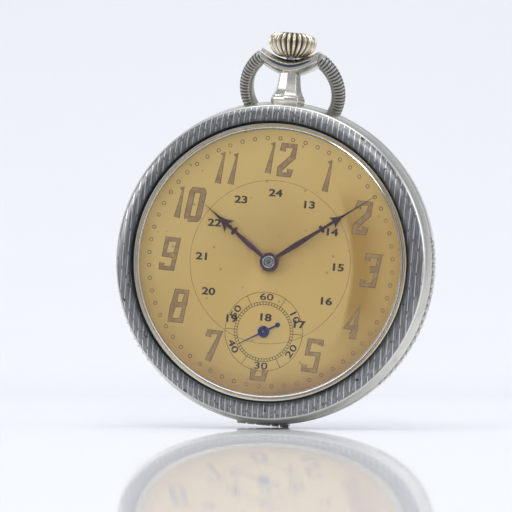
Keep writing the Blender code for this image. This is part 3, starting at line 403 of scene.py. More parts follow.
# %% Paints of the dial
def paint(name, main, faded, fade_from, fade_to, scale):
    """Old paint: a noise of about 1/scale metres thins it from main to faded."""
    material, tree, shader, place = start(name)
    wear = add(tree, "TexNoise", {"Vector": place, "Scale": scale, "Detail": 5.0})
    thin = add(tree, "MapRange", {"Value": wear, "From Min": fade_from, "From Max": fade_to})
    colour = add(tree, "Mix", {"Factor": thin, 6: srgb(main), 7: srgb(faded)}, data_type="RGBA")
    bump = add(tree, "Bump", {"Height": wear, "Strength": 0.2, "Distance": 0.00002})
    rough = add(tree, "MapRange", {"Value": wear, "To Min": 0.5, "To Max": 0.75})
    coat(tree, shader, colour, rough, bump, 0.0)
    return material


figure_fill = paint("faded_brown_figure_paint", "8F714A", "A98A56", 0.42, 0.7, 1100.0)
figure_edge = paint("brown_figure_outline_paint", "6A4F37", "8A6D49", 0.5, 0.75, 1800.0)
black_print = paint("black_dial_print", "231A16", "5E4A30", 0.6, 0.85, 2600.0)
faint_print = paint("faded_ring_print", "74593B", "9C7F50", 0.42, 0.7, 700.0)

# %% [markdown]
# ### Heat-coloured steel
#
# Hands are steel, polished and then tempered over a flame until an oxide film of some 60 nm colours
# them: purple-brown on the long hands, deep blue on the seconds hand. It stays a mirror-like metal.

# %% Tempered steels and movement metals
def metal(name, main, second, scale, roughness, metallic=1.0):
    """A metal whose colour and roughness drift between two values."""
    material, tree, shader, place = start(name)
    grain = add(tree, "TexNoise", {"Vector": place, "Scale": scale, "Detail": 4.0})
    colour = add(tree, "Mix", {"Factor": grain, 6: srgb(main), 7: srgb(second)}, data_type="RGBA")
    rough = add(
        tree, "MapRange", {"Value": grain, "To Min": roughness * 0.6, "To Max": roughness * 1.5}
    )
    bump = add(tree, "Bump", {"Height": grain, "Strength": 0.15, "Distance": 0.00001})
    coat(tree, shader, colour, rough, bump, metallic)
    return material


purple_steel = metal("purple_tempered_steel", "4A2E36", "5E4048", 900.0, 0.28)
blue_steel = metal("blue_tempered_steel", "2B2F66", "3B4180", 900.0, 0.25)
bright_steel = metal("polished_steel", "B8BABD", "9EA1A6", 2500.0, 0.16)
wheel_brass = metal("gilt_brass", "D3AE5E", "B98F3F", 1800.0, 0.25)
old_brass = metal("dulled_brass", "77775C", "5E5F4B", 1800.0, 0.4)
dark_groove = metal("niello_groove", "5A6069", "3E434B", 700.0, 0.3)

# %% [markdown]
# ### Striped nickel
#
# Movement bridges are nickelled brass with broad wavy stripes laid by a turning wooden disc: soft
# bands about 2 mm wide whose fine arcs catch the light in turn. A wave of that width drives the
# bump, the roughness and a painted sheen that makes the colour lighter and darker band by band.

# %% Striped nickel, ruby and crystal
striped_nickel, tree, shader, place = start("striped_nickel")
slant = add(tree, "Mapping", {"Vector": place, "Rotation": (0.0, math.radians(25), 0.0)})
stripes = add(
    tree,
    "TexWave",
    {"Vector": slant, "Scale": 78.0, "Distortion": 0.6, "Detail": 2.0},
    wave_profile="SAW",
)
arcs = add(tree, "TexWave", {"Vector": place, "Scale": 1500.0, "Distortion": 1.5}, wave_type="RINGS")
# Painted sheen: the colour turns lighter and darker band by band, standing in for the stripes catching
# the light.
stripe_sheen = add(
    tree,
    "Mix",
    {"Factor": stripes.outputs["Fac"], 6: srgb("9F9C93"), 7: srgb("D9D6CD")},
    data_type="RGBA",
)
rough = add(tree, "MapRange", {"Value": stripes.outputs["Fac"], "To Min": 0.2, "To Max": 0.42})
height = add(
    tree, "Math", {0: arcs.outputs["Fac"], 1: 0.15, 2: stripes.outputs["Fac"]}, operation="MULTIPLY_ADD"
)
bump = add(tree, "Bump", {"Height": height, "Strength": 0.3, "Distance": 0.00005})
coat(tree, shader, stripe_sheen, rough, bump, 1.0)

ruby = metal("synthetic_ruby", "8E1235", "C22A55", 700.0, 0.06, metallic=0.0)
ruby_shader = ruby.node_tree.nodes["Principled BSDF"]
ruby_shader.inputs["IOR"].default_value = 1.77
ruby_shader.inputs["Transmission Weight"].default_value = 0.35

crystal_glass, tree, shader, place = start("ground_watch_glass")
smears = add(tree, "TexNoise", {"Vector": place, "Scale": 160.0, "Detail": 4.0})
rough = add(tree, "MapRange", {"Value": smears, "To Min": 0.005, "To Max": 0.045})
tree.links.new(rough.outputs[0], shader.inputs["Roughness"])
shader.inputs["Base Color"].default_value = srgb("FBFCFC")
shader.inputs["IOR"].default_value = 1.5
shader.inputs["Transmission Weight"].default_value = 1.0
light_way = add(tree, "LightPath").outputs["Is Shadow Ray"]
let_through = add(tree, "BsdfTransparent", {"Color": srgb("FBFCFC")})
glass = add(tree, "MixShader", {0: light_way, 1: shader, 2: let_through})
tree.links.new(glass.outputs[0], tree.nodes["Material Output"].inputs["Surface"])
print("finishes:", len(bpy.data.materials))

# %% [markdown]
# ## Putting a piece to work
#
# A finished piece is given its material, rides on the body it moves with, and stands for the plain
# part that it replaces.

# %% The fitting tool
def fit(piece, material, body, slot, *nodes):
    """Dresses a piece and sets it on its body, in place of the plain nodes named last."""
    piece.data.materials.clear()
    piece.data.materials.append(material)
    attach(piece, body)
    if nodes:
        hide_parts(*nodes)
    return report(piece)


def block_cut(piece, low, high):
    """Cuts a box-shaped room out of a piece; the corners are in world millimetres."""
    bpy.ops.object.select_all(action="DESELECT")
    middle = (Vector(low) + Vector(high)) / 2 * MM
    bpy.ops.mesh.primitive_cube_add(size=1, location=middle, scale=(Vector(high) - Vector(low)) * MM)
    cutter = bpy.context.object
    bpy.context.view_layer.objects.active = piece
    cut = piece.modifiers.new("room", "BOOLEAN")
    cut.operation = "DIFFERENCE"
    cut.object = cutter
    bpy.ops.object.modifier_apply(modifier=cut.name)
    bpy.data.objects.remove(cutter)


# %% [markdown]
# ## Case band
#
# The band is one ring, widest low down, polished round the pendant and the hinge and rolled with a
# coin edge on both flanks: flutes 1.28 mm apart, so that it doesn't slip from the fingers. The ring
# is turned with four columns of points to a flute, and three of the four are pressed in.

# %% Case band
FLUTES = 120
band_profile = [
    (23.5, 8.0), (23.72, 7.96), (23.84, 7.75), (23.98, 7.3), (24.14, 6.8), (24.28, 6.3), (24.36, 5.9),
    (24.34, 5.75), (24.52, 5.6), (24.66, 5.35), (24.72, 4.7), (24.7, 3.9), (24.6, 3.5), (24.42, 3.35),
    (24.44, 3.0), (24.34, 2.6), (24.1, 2.4), (21.9, 2.4), (21.9, 5.1), (20.75, 5.1), (20.75, 6.55),
    (21.55, 6.55), (21.55, 8.0),
]
band = turn("case_band", band_profile, 4 * FLUTES, closed=True)


def on_roll(co):
    """The widest part of the rim, which the knurling wheel reaches."""
    return math.hypot(co.x, co.z) > 24.48 * MM


def on_coin_edge(co):
    """The rolled part of the rim, on both flanks between the pendant and the hinge."""
    from_stem = abs(math.degrees(math.atan2(co.x, co.z)))
    return on_roll(co) and 76 < from_stem < 134


def flute_step(co):
    return column_of(co.x, co.z, 4 * FLUTES, 4)


def on_root(co):
    return on_coin_edge(co) and flute_step(co) == 2


def on_flank(co):
    return on_coin_edge(co) and flute_step(co) in (1, 3)


def on_shoulder(co):
    return on_roll(co) and not on_coin_edge(co)


press(band, on_shoulder, (0.9925, 1, 0.9925), (0, 0, 0))
press(band, on_flank, (0.991, 1, 0.991), (0, 0, 0), 0.35)
press(band, on_root, (0.977, 1, 0.977), (0, 0, 0), 1.0)

HINGE = on_watch(0, -24.2, 2.35)


def hinge_tube(name, left, right):
    """A knuckle of the back's hinge: a tube along x, its ends chamfered."""
    profile = [(0.42, left), (0.54, left), (0.6, left + 0.06)]
    profile += [(0.6, right - 0.06), (0.54, right), (0.42, right)]
    points = [HINGE + Vector((x, -r, 0)) * MM for r, x in profile]
    tube = draw(name, points + points[:1])
    bpy.ops.mesh.spin(steps=24, angle=2 * math.pi, center=HINGE, axis=(1, 0, 0))
    return settle(tube)


band = weld("case_band", [band, hinge_tube("case_knuckle", -1.15, 1.15)])
fit(band, case_silver, CASE_BODY, "case_silver", "case_middle")

# %% [markdown]
# ## Bezel
#
# The bezel snaps on the band and holds the glass. Across its width lie a cove beside the glass,
# painted dark as shade, a gently crowned field for the niello lines, a fine step and a bright rim.

# %% Bezel
bezel_profile = [
    (20.34, 8.08), (20.34, 8.5), (20.72, 8.52), (20.74, 8.82), (20.86, 8.92), (21.02, 9.04),
    (21.16, 9.22), (21.24, 9.38), (21.33, 9.44), (21.6, 9.47), (22.1, 9.44), (22.6, 9.33), (23.0, 9.18),
    (23.3, 9.02), (23.42, 8.94), (23.46, 8.88), (23.52, 8.9), (23.64, 8.8), (23.74, 8.62), (23.76, 8.4),
    (23.72, 8.2), (23.62, 8.08),
]
bezel = turn("bezel_ring", bezel_profile, 256, closed=True)
fit(bezel, niello, CASE_BODY, "bezel_niello", "bezel")

# %% [markdown]
# ## Watch glass
#
# The glass is a shallow dome about half a millimetre thick with a ground bevel at its foot, which
# draws the thin bright line round the dial.

# %% Watch glass
OUTER_STEPS = (0, 0.15, 0.3, 0.45, 0.6, 0.72, 0.82, 0.88, 0.93, 0.965, 0.98)
INNER_STEPS = (0.97, 0.95, 0.92, 0.85, 0.75, 0.62, 0.45, 0.3, 0.15, 0)
dome = [(20.62 * s, 10.25 - 1.05 * s**2.4) for s in OUTER_STEPS]
foot = [(20.4, 9.1), (20.55, 8.9), (20.62, 8.72), (20.58, 8.58), (20.2, 8.56), (20.12, 8.75)]
hollow = [(20.62 * s, 9.75 - 0.85 * s**2.4) for s in INNER_STEPS]
glass_profile = dome + foot + hollow
watch_glass = turn("watch_glass", glass_profile, 192, smooth_deg=50)
fit(watch_glass, crystal_glass, CASE_BODY, "crystal_glass", "crystal")

# %% [markdown]
# ## Dial
#
# The dial is a thin brass disc with a turned-down edge and a hole for the hands' arbors. It needs no
# more than a turned profile, because the age that shows on it is all in its finish.

# %% Dial disc
dial_profile = [(1.22, 7.6), (1.22, 7.98), (1.26, 8.0)]
dial_profile += [(20.6, 8.0), (20.86, 7.94), (20.9, 7.8), (20.9, 7.6)]
dial_disc = turn("dial_disc", dial_profile, 192, closed=True)
fit(dial_disc, gilt, CASE_BODY, "dial_gilt", "dial")

# %% [markdown]
# ### Printing
#
# A pad print is a film of paint with a slightly domed edge. Strokes are flattened wire, circles are
# turned low rings and the small figures come from the plain built-in type, thickened. Marks that
# repeat round the dial are copied from one by turning, as a dial printer's dividing plate does.

# %% The printing tools
def printed_line(name, points, width, thickness):
    """A painted stroke on the dial: a drawn line made round wire and pressed flat."""
    draw(name, [Vector((x, 0, y)) * MM for x, y in points])
    bpy.ops.object.mode_set(mode="OBJECT")
    bpy.ops.object.transform_apply(location=True)
    bpy.ops.object.convert(target="CURVE")
    wire = bpy.context.object
    wire.data.bevel_depth = width / 2 * MM
    wire.data.bevel_resolution = 1
    wire.data.use_fill_caps = True
    bpy.ops.object.convert(target="MESH")
    wire = bpy.context.object
    wire.scale = (1, thickness / width, 1)
    wire.location = (0, -DIAL_TOP * MM, 0)
    return settle(wire, 60)


def printed_ring(name, radius, width, thickness, centre=(0, 0), steps=128):
    """A painted circle: a turned ring, low and domed."""
    low, high = DIAL_TOP - 0.01, DIAL_TOP + thickness / 2
    half = width / 2
    profile = [
        (radius - half, low), (radius - half, high - 0.003), (radius - half * 0.6, high),
        (radius + half * 0.6, high), (radius + half, high - 0.003), (radius + half, low),
    ]
    return turn(name, profile, steps, centre, closed=True)


def printed_text(name, body, size, widen, bold, centre, turn_deg=0):
    """Generic figures, widened and thickened like the fat figures of old dials."""
    bpy.ops.object.select_all(action="DESELECT")
    bpy.ops.object.text_add(location=(0, 0, 0))
    text = bpy.context.object
    text.name = name
    text.data.body = body
    text.data.align_x = "CENTER"
    text.data.align_y = "CENTER"
    text.data.size = size * MM
    text.data.offset = bold * MM
    text.data.extrude = 0.008 * MM
    text.data.resolution_u = 3
    bpy.ops.object.convert(target="MESH")
    text = bpy.context.object
    text.scale = (widen, 1, 1)
    bpy.ops.object.transform_apply(scale=True)
    text.rotation_euler = (math.pi / 2, math.radians(turn_deg), 0)
    text.location = on_watch(*centre, DIAL_TOP)
    return settle(text)


def copy_round(piece, centre, count):
    """Copies of a piece at equal steps round a point of the dial, each with its own mesh."""
    copies = [piece]
    for k in range(1, count):
        twin = piece.copy()
        twin.data = piece.data.copy()
        bpy.context.scene.collection.objects.link(twin)
        turn_mesh(twin, on_watch(*centre, 0), math.radians(360 * k / count))
        copies.append(twin)
    return copies


# %% [markdown]
# ### Hour figures
#
# The hours are tall block figures of the 1920s, leaning 8 degrees. Each is a few strokes on a grid
# one unit wide and high. A wide brown stroke gives the outline and a narrower faded one lies on it.
# The 6 makes room for the small seconds, and only its foot shows.

# %% Hour figures
FIGURES = {
    "0": [
        [(0.1, 0), (0.9, 0), (1, 0.08), (1, 0.92), (0.9, 1), (0.1, 1), (0, 0.92), (0, 0.08), (0.1, 0)]
    ],
    "1": [[(0.4, 0.95), (0.5, 1.0), (0.5, 0.0)]],
    "2": [[(0, 0.8), (0, 1), (1, 1), (1, 0.62), (0.12, 0.2), (0.12, 0), (1, 0), (1, 0.2)]],
    "3": [[(0, 0.82), (0, 1), (1, 1), (1, 0), (0, 0), (0, 0.18)], [(0.35, 0.54), (1, 0.54)]],
    "4": [[(0.78, 0), (0.78, 1), (0, 0.28), (1.1, 0.28)], [(0.45, 0), (1.1, 0)]],
    "5": [[(1, 0.86), (1, 1), (0, 1), (0, 0.56), (1, 0.56), (1, 0), (0, 0), (0, 0.18)]],
    "7": [[(0, 0.82), (0, 1), (1, 1), (0.42, 0)]],
    "8": [
        [(0.05, 0.54), (0.05, 1), (0.95, 1), (0.95, 0.54)],
        [(0, 0.54), (1, 0.54), (1, 0), (0, 0), (0, 0.54)],
    ],
    "9": [[(1, 0.46), (0, 0.46), (0, 1), (1, 1), (1, 0), (0, 0), (0, 0.18)]],
    "foot of 6": [[(0, 0.32), (0, 0), (1, 0), (1, 0.32)]],
}
FIGURE_LEAN = math.tan(math.radians(8))
FIGURE_TALL = 4.4
FIGURE_WIDE = 1.75
OUTLINE_STROKE = 1.12
FILL_STROKE = 0.84
HOUR_RING = 15.5


def figure_strokes(figure, x, y):
    """A figure's strokes, centred at (x, y) on the dial and leaning right."""
    strokes = []
    for line in FIGURES[figure]:
        placed = []
        for u, v in line:
            up = (v - 0.5) * FIGURE_TALL
            placed.append((x + (u - 0.5) * FIGURE_WIDE + up * FIGURE_LEAN, y + up))
        strokes.append(placed)
    return strokes


edges, fills = [], []


def paint_figure(figure, x, y):
    """Paints one figure's outline strokes and the fill strokes on them."""
    for line in figure_strokes(figure, x, y):
        edges.append(printed_line("figure_edge", line, OUTLINE_STROKE, 0.03))
        fills.append(printed_line("figure_fill", line, FILL_STROKE, 0.05))


for hour in (1, 2, 3, 4, 5, 7, 8, 9, 10, 11, 12):
    figures = str(hour)
    way = math.radians(90 - 30 * hour)
    x, y = HOUR_RING * math.cos(way), HOUR_RING * math.sin(way)
    for place_in_pair, figure in enumerate(figures):
        spread = 0.0
        if len(figures) == 2:
            gap = 1.0 if figures == "11" else 1.2
            spread = (place_in_pair - 0.5) * 2 * gap
        paint_figure(figure, x + spread, y)
paint_figure("foot of 6", 0, -15.4)
fit(weld("hour_figure_outlines", edges), figure_edge, CASE_BODY, "dial_gilt")
fit(weld("hour_figures", fills), figure_fill, CASE_BODY, "dial_gilt")

# %% [markdown]
# ### Afternoon figures and rings
#
# Inside the hours stand small fat figures from 13 to 24, upright, and a fine circle between the two
# scales. The minutes are sixty tiny printed rings. Where the small seconds are, the older figures
# are partly overprinted.

# %% Afternoon figures and rings
AFTERNOON_RING = 10.4
MINUTE_RING = 18.7
small_figures = []
for hour in range(13, 25):
    way = math.radians(90 - 30 * hour)
    x, y = AFTERNOON_RING * math.cos(way), AFTERNOON_RING * math.sin(way)
    if hour == 18:
        y += 2.0
    small_figures.append(printed_text("small_figure", str(hour), 1.5, 1.4, 0.05, (x, y)))
fit(weld("afternoon_figures", small_figures), black_print, CASE_BODY, "dial_gilt")

minute_dot = printed_ring("minute_dot", 0.26, 0.13, 0.02, (0, MINUTE_RING), 12)
dots = copy_round(minute_dot, (0, 0), 60)
rings = dots + [printed_ring("scale_circle", 12.3, 0.07, 0.01)]
fit(weld("minute_rings", rings), faint_print, CASE_BODY, "dial_gilt")

# %% [markdown]
# ### Small seconds
#
# The seconds scale is a railway of sixty short ticks between two circles, with figures every ten
# seconds round it and a longer line between them. The lower figures turn upright for the reader.

# %% Small seconds
SECONDS = (0, SECONDS_Y)
TRACK_IN, TRACK_OUT, FIGURES_OUT = 4.08, 4.5, 5.95
TENS_RING = 5.2
circles = (TRACK_IN, TRACK_OUT, FIGURES_OUT)
rings = [printed_ring("seconds_circle", r, 0.07, 0.02, SECONDS) for r in circles]
tick_line = [(0, SECONDS_Y + TRACK_IN), (0, SECONDS_Y + TRACK_OUT)]
ticks = copy_round(printed_line("tick", tick_line, 0.1, 0.02), SECONDS, 60)
divider_line = [(0, SECONDS_Y + TRACK_OUT), (0, SECONDS_Y + FIGURES_OUT)]
dividers = copy_round(printed_line("divider", divider_line, 0.08, 0.02), SECONDS, 12)
long_lines = dividers[1::2]
for spare in dividers[0::2]:
    bpy.data.objects.remove(spare)
tens = []
for count in range(6):
    way = math.radians(90 - 60 * count)
    at = (TENS_RING * math.cos(way), SECONDS_Y + TENS_RING * math.sin(way))
    turn_deg = 60 * count if count in (0, 1, 5) else 60 * count - 180
    tens.append(printed_text("seconds_figure", str(count * 10 or 60), 1.45, 1.5, 0.02, at, turn_deg))
seconds_print = weld("seconds_scale", rings + ticks + long_lines + tens)
fit(seconds_print, black_print, CASE_BODY, "dial_gilt")

# %% [markdown]
# ## Hands
#
# A hand is filed from flat steel: a hub ring, a body that swells, a small cross collar, an arrowhead
# with swept barbs and a needle tip. One end face is extruded from station to station and resized at
# each, as a bar is drawn out, and then the whole hand is turned to its place.

# %% The hand tool
def draw_out(name, stations, height, thickness):
    """A bar along 12 o'clock; stations are (distance, half width, sweep of the sides)."""
    bpy.ops.object.select_all(action="DESELECT")
    first, width, _ = stations[0]
    bpy.ops.mesh.primitive_circle_add(
        vertices=8, radius=1.0, fill_type="NGON", location=on_watch(0, first, height)
    )
    bar = bpy.context.object
    bar.name = bar.data.name = name
    bpy.ops.object.mode_set(mode="EDIT")
    bpy.ops.transform.resize(value=(width * MM, thickness / 2 * MM, 1), center_override=bar.location)
    for (here, old, _), (there, new, sweep) in zip(stations, stations[1:]):
        bpy.ops.mesh.extrude_region_move(
            TRANSFORM_OT_translate={"value": Vector((0, 0, there - here)) * MM}
        )
        centre = on_watch(0, there, height)
        bpy.ops.transform.resize(value=(new / old, 1, 1), center_override=centre)
        if sweep:
            bpy.ops.object.mode_set(mode="OBJECT")
            for vertex in bar.data.vertices:
                if vertex.select:
                    vertex.co.z -= sweep * MM * abs(vertex.co.x) / (new * MM)
            bpy.ops.object.mode_set(mode="EDIT")
    return settle(bar, 40)


def hub_ring(name, inner, outer, low, high, centre=(0, 0)):
    """The hand's hub, a flat ring with rounded edges."""
    round_off = 0.04
    profile = [
        (inner, low), (inner, high - round_off), (inner + round_off, high),
        (outer - round_off * 2, high), (outer, high - round_off), (outer, low),
    ]
    return turn(name, profile, 48, centre, closed=True)


def set_hand(name, bars, turns, centre=(0, 0)):
    """Turns a hand clockwise to its time and solders its pieces."""
    hand = weld(name, bars)
    turn_mesh(hand, on_watch(*centre, 0), 2 * math.pi * turns)
    return hand


# %% [markdown]
# The hour hand sits lowest, the minute hand above it on the cannon pinion, whose bright end shows in
# the middle. They stand at nine minutes past ten, the hour hand slipped two degrees ahead on its
# pipe, and the seconds hand stands at forty seconds.

# %% Hour, minute and seconds hands
MINUTES = 9
HOUR_HAND_AHEAD = 2 / 360
HOUR_TURNS = (10 + MINUTES / 60) / 12 + HOUR_HAND_AHEAD

hour_stations = [
    (1.2, 0.3, 0), (2.2, 0.32, 0), (4.0, 0.44, 0), (5.6, 0.34, 0), (6.85, 0.22, 0), (6.95, 0.62, 0),
    (7.15, 0.68, 0), (7.35, 0.6, 0), (7.45, 0.24, 0), (8.6, 0.28, 0), (8.8, 1.45, 0.8),
    (9.4, 1.08, 0.38), (10.3, 0.62, 0.1), (11.3, 0.22, 0), (12.5, 0.12, 0), (14.1, 0.03, 0),
]
hour_bar = draw_out("hour_bar", hour_stations, 8.43, 0.16)
hour_parts = [hour_bar, hub_ring("hour_hub", 1.06, 1.4, 8.35, 8.52)]
hour_hand = set_hand("hour_hand_filed", hour_parts, HOUR_TURNS)
fit(hour_hand, purple_steel, "hour_train", "hand_steel", "hour_hand")

minute_stations = [
    (1.1, 0.3, 0), (2.4, 0.32, 0), (5.0, 0.42, 0), (7.4, 0.3, 0), (9.15, 0.22, 0), (9.25, 0.55, 0),
    (9.45, 0.6, 0), (9.65, 0.52, 0), (9.75, 0.2, 0), (11.6, 0.24, 0), (11.8, 1.2, 0.7),
    (12.3, 0.9, 0.32), (13.1, 0.52, 0.08), (14.0, 0.18, 0), (16.0, 0.1, 0), (19.25, 0.03, 0),
]
minute_bar = draw_out("minute_bar", minute_stations, 8.73, 0.15)
minute_parts = [minute_bar, hub_ring("minute_hub", 0.6, 1.34, 8.65, 8.82)]
minute_hand = set_hand("minute_hand_filed", minute_parts, MINUTES / 60)
fit(minute_hand, purple_steel, "centre_train", "hand_steel", "minute_hand")

pinion_profile = [(0.7, 8.6), (0.7, 8.88), (0.73, 8.94), (0.78, 8.97)]
pinion_profile += [(0.88, 8.97), (0.93, 8.94), (0.96, 8.88), (0.96, 8.6)]
pinion_end = turn("cannon_pinion_end", pinion_profile, 40, closed=True)
fit(pinion_end, bright_steel, "centre_train", "polished_steel")

arbor_profile = [(0, 8.93), (0.42, 8.93), (0.58, 8.9), (0.66, 8.82), (0.66, 8.6), (0, 8.6)]
arbor_end = turn("centre_arbor_end", arbor_profile, 32)
fit(arbor_end, old_brass, "centre_train", "wheel_brass")

seconds_stations = [(-2.1, 0.12, 0), (-0.8, 0.14, 0), (0.0, 0.2, 0)]
seconds_stations += [(0.9, 0.12, 0), (2.5, 0.08, 0), (4.4, 0.03, 0)]
seconds_bar = draw_out("seconds_bar", seconds_stations, 8.16, 0.09)
seconds_bar.data.transform(Matrix.Translation(on_watch(0, SECONDS_Y, 0)))
weight_profile = [(0, 8.21), (0.28, 8.21), (0.36, 8.17), (0.36, 8.13), (0.28, 8.1), (0, 8.1)]
weight = turn("counterweight", weight_profile, 24, (0, SECONDS_Y - 2.4))
seconds_parts = [seconds_bar, weight, hub_ring("seconds_hub", 0.26, 0.88, 8.08, 8.24, SECONDS)]
seconds_hand = set_hand("seconds_hand_filed", seconds_parts, 40 / 60, SECONDS)
fit(seconds_hand, blue_steel, "fourth_train", "blue_steel", "seconds_hand")

# %% [markdown]
# ## Crown
#
# The crown is an onion with 24 flutes that the thumb turns to wind the watch. It is turned with
# eight columns of points to a flute, and the columns are pressed in by a cosine, which leaves round
# ribs with tight roots like the real ones.

# %% Crown
RIBS = 24
crown_profile = [
    (0, 34.9), (1.2, 34.93), (2.1, 34.92), (2.6, 34.86), (3.0, 34.7), (3.32, 34.45), (3.54, 34.1),
    (3.64, 33.7), (3.63, 33.3), (3.5, 32.85), (3.25, 32.4), (2.9, 32.0), (2.45, 31.65), (1.95, 31.4),
    (1.3, 31.24), (0.95, 31.25), (0.95, 33.2), (0, 33.2),
]
crown = turn_on_stem("fluted_crown", crown_profile, 8 * RIBS, 60)


def rib_step(co):
    from_rib = column_of(co.x, co.y + STEM_HEIGHT * MM, 8 * RIBS, 8)
    return min(from_rib, 8 - from_rib)


def on_flutes(co):
    return math.hypot(co.x, co.y + STEM_HEIGHT * MM) > 1.7 * MM


FLUTE_DEPTH = 0.14
TARNISH = {1: 0.0, 2: 0.15, 3: 0.75, 4: 1.0}
for step, tarnish in TARNISH.items():
    narrow = 1 - FLUTE_DEPTH * (1 - math.cos(math.pi * step / 4)) / 2

    def on_step(co):
        return on_flutes(co) and rib_step(co) == step

    press(crown, on_step, (narrow, narrow, 1), on_watch(0, 0, STEM_HEIGHT), tarnish)
fit(crown, crown_silver, "crown_body", "crown_silver", "crown")

# %% [markdown]
# ## Pendant
#
# The pendant joins case, stem and bow. Its neck is an eight-sided pillar with a seam down the front
# and a flared foot; its head is a saddle, hollowed on top for the crown, with a niello groove along
# the front. The head is drawn out sideways from one end, raised and resized at each station.

# %% Pendant neck and head
neck_profile = [
    (1.0, 29.3), (1.72, 29.3), (1.68, 28.4), (1.78, 27.4), (1.98, 26.3), (2.28, 25.6), (2.5, 25.35),
    (2.42, 25.22), (2.62, 25.05), (2.66, 24.75), (2.6, 24.4), (2.42, 23.85), (1.0, 23.85), (1.0, 29.3),
]
neck = turn_on_stem("pendant_neck", neck_profile, 8, 20)
round_edges(neck, 0.07, 2)

SADDLE_HALF = 4.3
SADDLE_DEPTH = 4.3
SADDLE_TOP = 30.85
SADDLE_FOOT = 28.35
GROOVE_HALF = 3.45


def smile(x):
    """The top and bottom edge of the saddle at x, heights along the stem."""
    rise = (abs(x) / SADDLE_HALF) ** 1.7
    return SADDLE_TOP + 1.5 * rise, SADDLE_FOOT + 1.75 * rise


def draw_across(name, stations, depth, edge_of, front=STEM_HEIGHT):
    """An eight-sided bar along x, a flat to the front; edge_of gives its upper and lower edge."""
    bpy.ops.object.select_all(action="DESELECT")
    top, bottom = edge_of(stations[0])
    middle = (top + bottom) / 2
    bpy.ops.mesh.primitive_circle_add(
        vertices=8,
        radius=1 / math.cos(math.pi / 8),
        fill_type="NGON",
        location=on_watch(stations[0], middle, front),
        rotation=(0, math.pi / 2, 0),
    )
    bar = bpy.context.object
    bar.name = bar.data.name = name
    bpy.ops.object.mode_set(mode="EDIT")
    bpy.ops.transform.rotate(value=math.pi / 8, orient_axis="X", center_override=bar.location)
    size = (1, depth / 2 * MM, (top - bottom) / 2 * MM)
    bpy.ops.transform.resize(value=size, center_override=bar.location)
    for here, there in zip(stations, stations[1:]):
        old_top, old_bottom = edge_of(here)
        top, bottom = edge_of(there)
        rise = (top + bottom - old_top - old_bottom) / 2
        bpy.ops.mesh.extrude_region_move(
            TRANSFORM_OT_translate={"value": Vector((there - here, 0, rise)) * MM}
        )
        centre = on_watch(there, (top + bottom) / 2, front)
        grow = (top - bottom) / (old_top - old_bottom)
        bpy.ops.transform.resize(value=(1, 1, grow), center_override=centre)
    return settle(bar, 40)


saddle_stations = [-4.42, -4.36, -4.2, -3.6, -3.0, -2.4, -1.8, -1.2, -0.6, 0]
saddle_stations += [-x for x in reversed(saddle_stations[:-1])]
head = draw_across("pendant_head", saddle_stations, SADDLE_DEPTH, smile)
round_edges(head, 0.4, 4)
bpy.ops.object.shade_smooth_by_angle(angle=math.radians(35))
pendant = weld("pendant_with_head", [neck, head])
fit(pendant, case_silver, CASE_BODY, "case_silver", "pendant")


def groove_edge(x):
    top, bottom = smile(x)
    middle = bottom + (top - bottom) * 0.56
    half = 0.24 * (1 - abs(x / GROOVE_HALF) ** 8) + 0.01
    return middle + half, middle - half


groove_stations = [-3.4, -3.3, -3.1, -2.6, -2.0, -1.4, -0.7, 0]
groove_stations += [-x for x in reversed(groove_stations[:-1])]
groove = draw_across("pendant_groove", groove_stations, 0.3, groove_edge, STEM_HEIGHT + 2.06)
fit(groove, dark_groove, CASE_BODY, "bezel_niello")

# %% [markdown]
# ## Bow
#
# The bow is a ring of flattened wire, rolled with cross ribs on its outside and smooth inside. It is
# turned as a whole ring round its own centre, ribbed like the case band, opened where the pendant's
# head stands, and leans back on its two pivots.

# %% Bow
BOW_CENTRE_Y = BOW_PIVOT_Y - 5.5
BOW_RIBS = 88
LEAN = math.radians(33)
bow_section = [
    (6.12, 0.35), (6.25, 0.72), (6.6, 0.98), (7.1, 1.08), (7.6, 1.02), (8.0, 0.78), (8.2, 0.4),
    (8.24, 0.0),
]
lower_half = [(r, -h) for r, h in reversed(bow_section[:-1])]
bow_profile = [(r, STEM_HEIGHT + h) for r, h in bow_section + lower_half]
bow = turn("ribbed_bow", bow_profile, 4 * BOW_RIBS, (0, BOW_CENTRE_Y), closed=True)


def bow_radius(co):
    return math.hypot(co.x, co.z - BOW_CENTRE_Y * MM)


def bow_step(co):
    return column_of(co.x, co.z - BOW_CENTRE_Y * MM, 4 * BOW_RIBS, 4)


def between_ribs(co):
    return bow_radius(co) > 6.95 * MM and bow_step(co) == 2


def beside_ribs(co):
    return bow_radius(co) > 6.95 * MM and bow_step(co) in (1, 3)


bow_middle = on_watch(0, BOW_CENTRE_Y, STEM_HEIGHT)
press(bow, beside_ribs, (0.995, 0.97, 0.995), bow_middle, 0.3)
press(bow, between_ribs, (0.975, 0.86, 0.975), bow_middle, 1.0)
block_cut(bow, (-4.42, -12, BOW_CENTRE_Y), (4.42, 2, 40))
block_cut(bow, (-6.5, -12, 31.8), (6.5, 2, 40))


def pivot_pin(name, left, right):
    """A bow pin with a rounded nose, along x."""
    low, high = left * MM, right * MM
    chamfer = 0.12 * MM
    profile = [(0.0, low), (0.36, low), (0.48, low + chamfer)]
    profile += [(0.48, high - chamfer), (0.36, high), (0.0, high)]
    centre = on_watch(0, BOW_PIVOT_Y, STEM_HEIGHT)
    pin = draw(name, [centre + Vector((x, -r * MM, 0)) for r, x in profile])
    bpy.ops.mesh.spin(steps=20, angle=2 * math.pi, center=centre, axis=(1, 0, 0))
    return settle(pin)


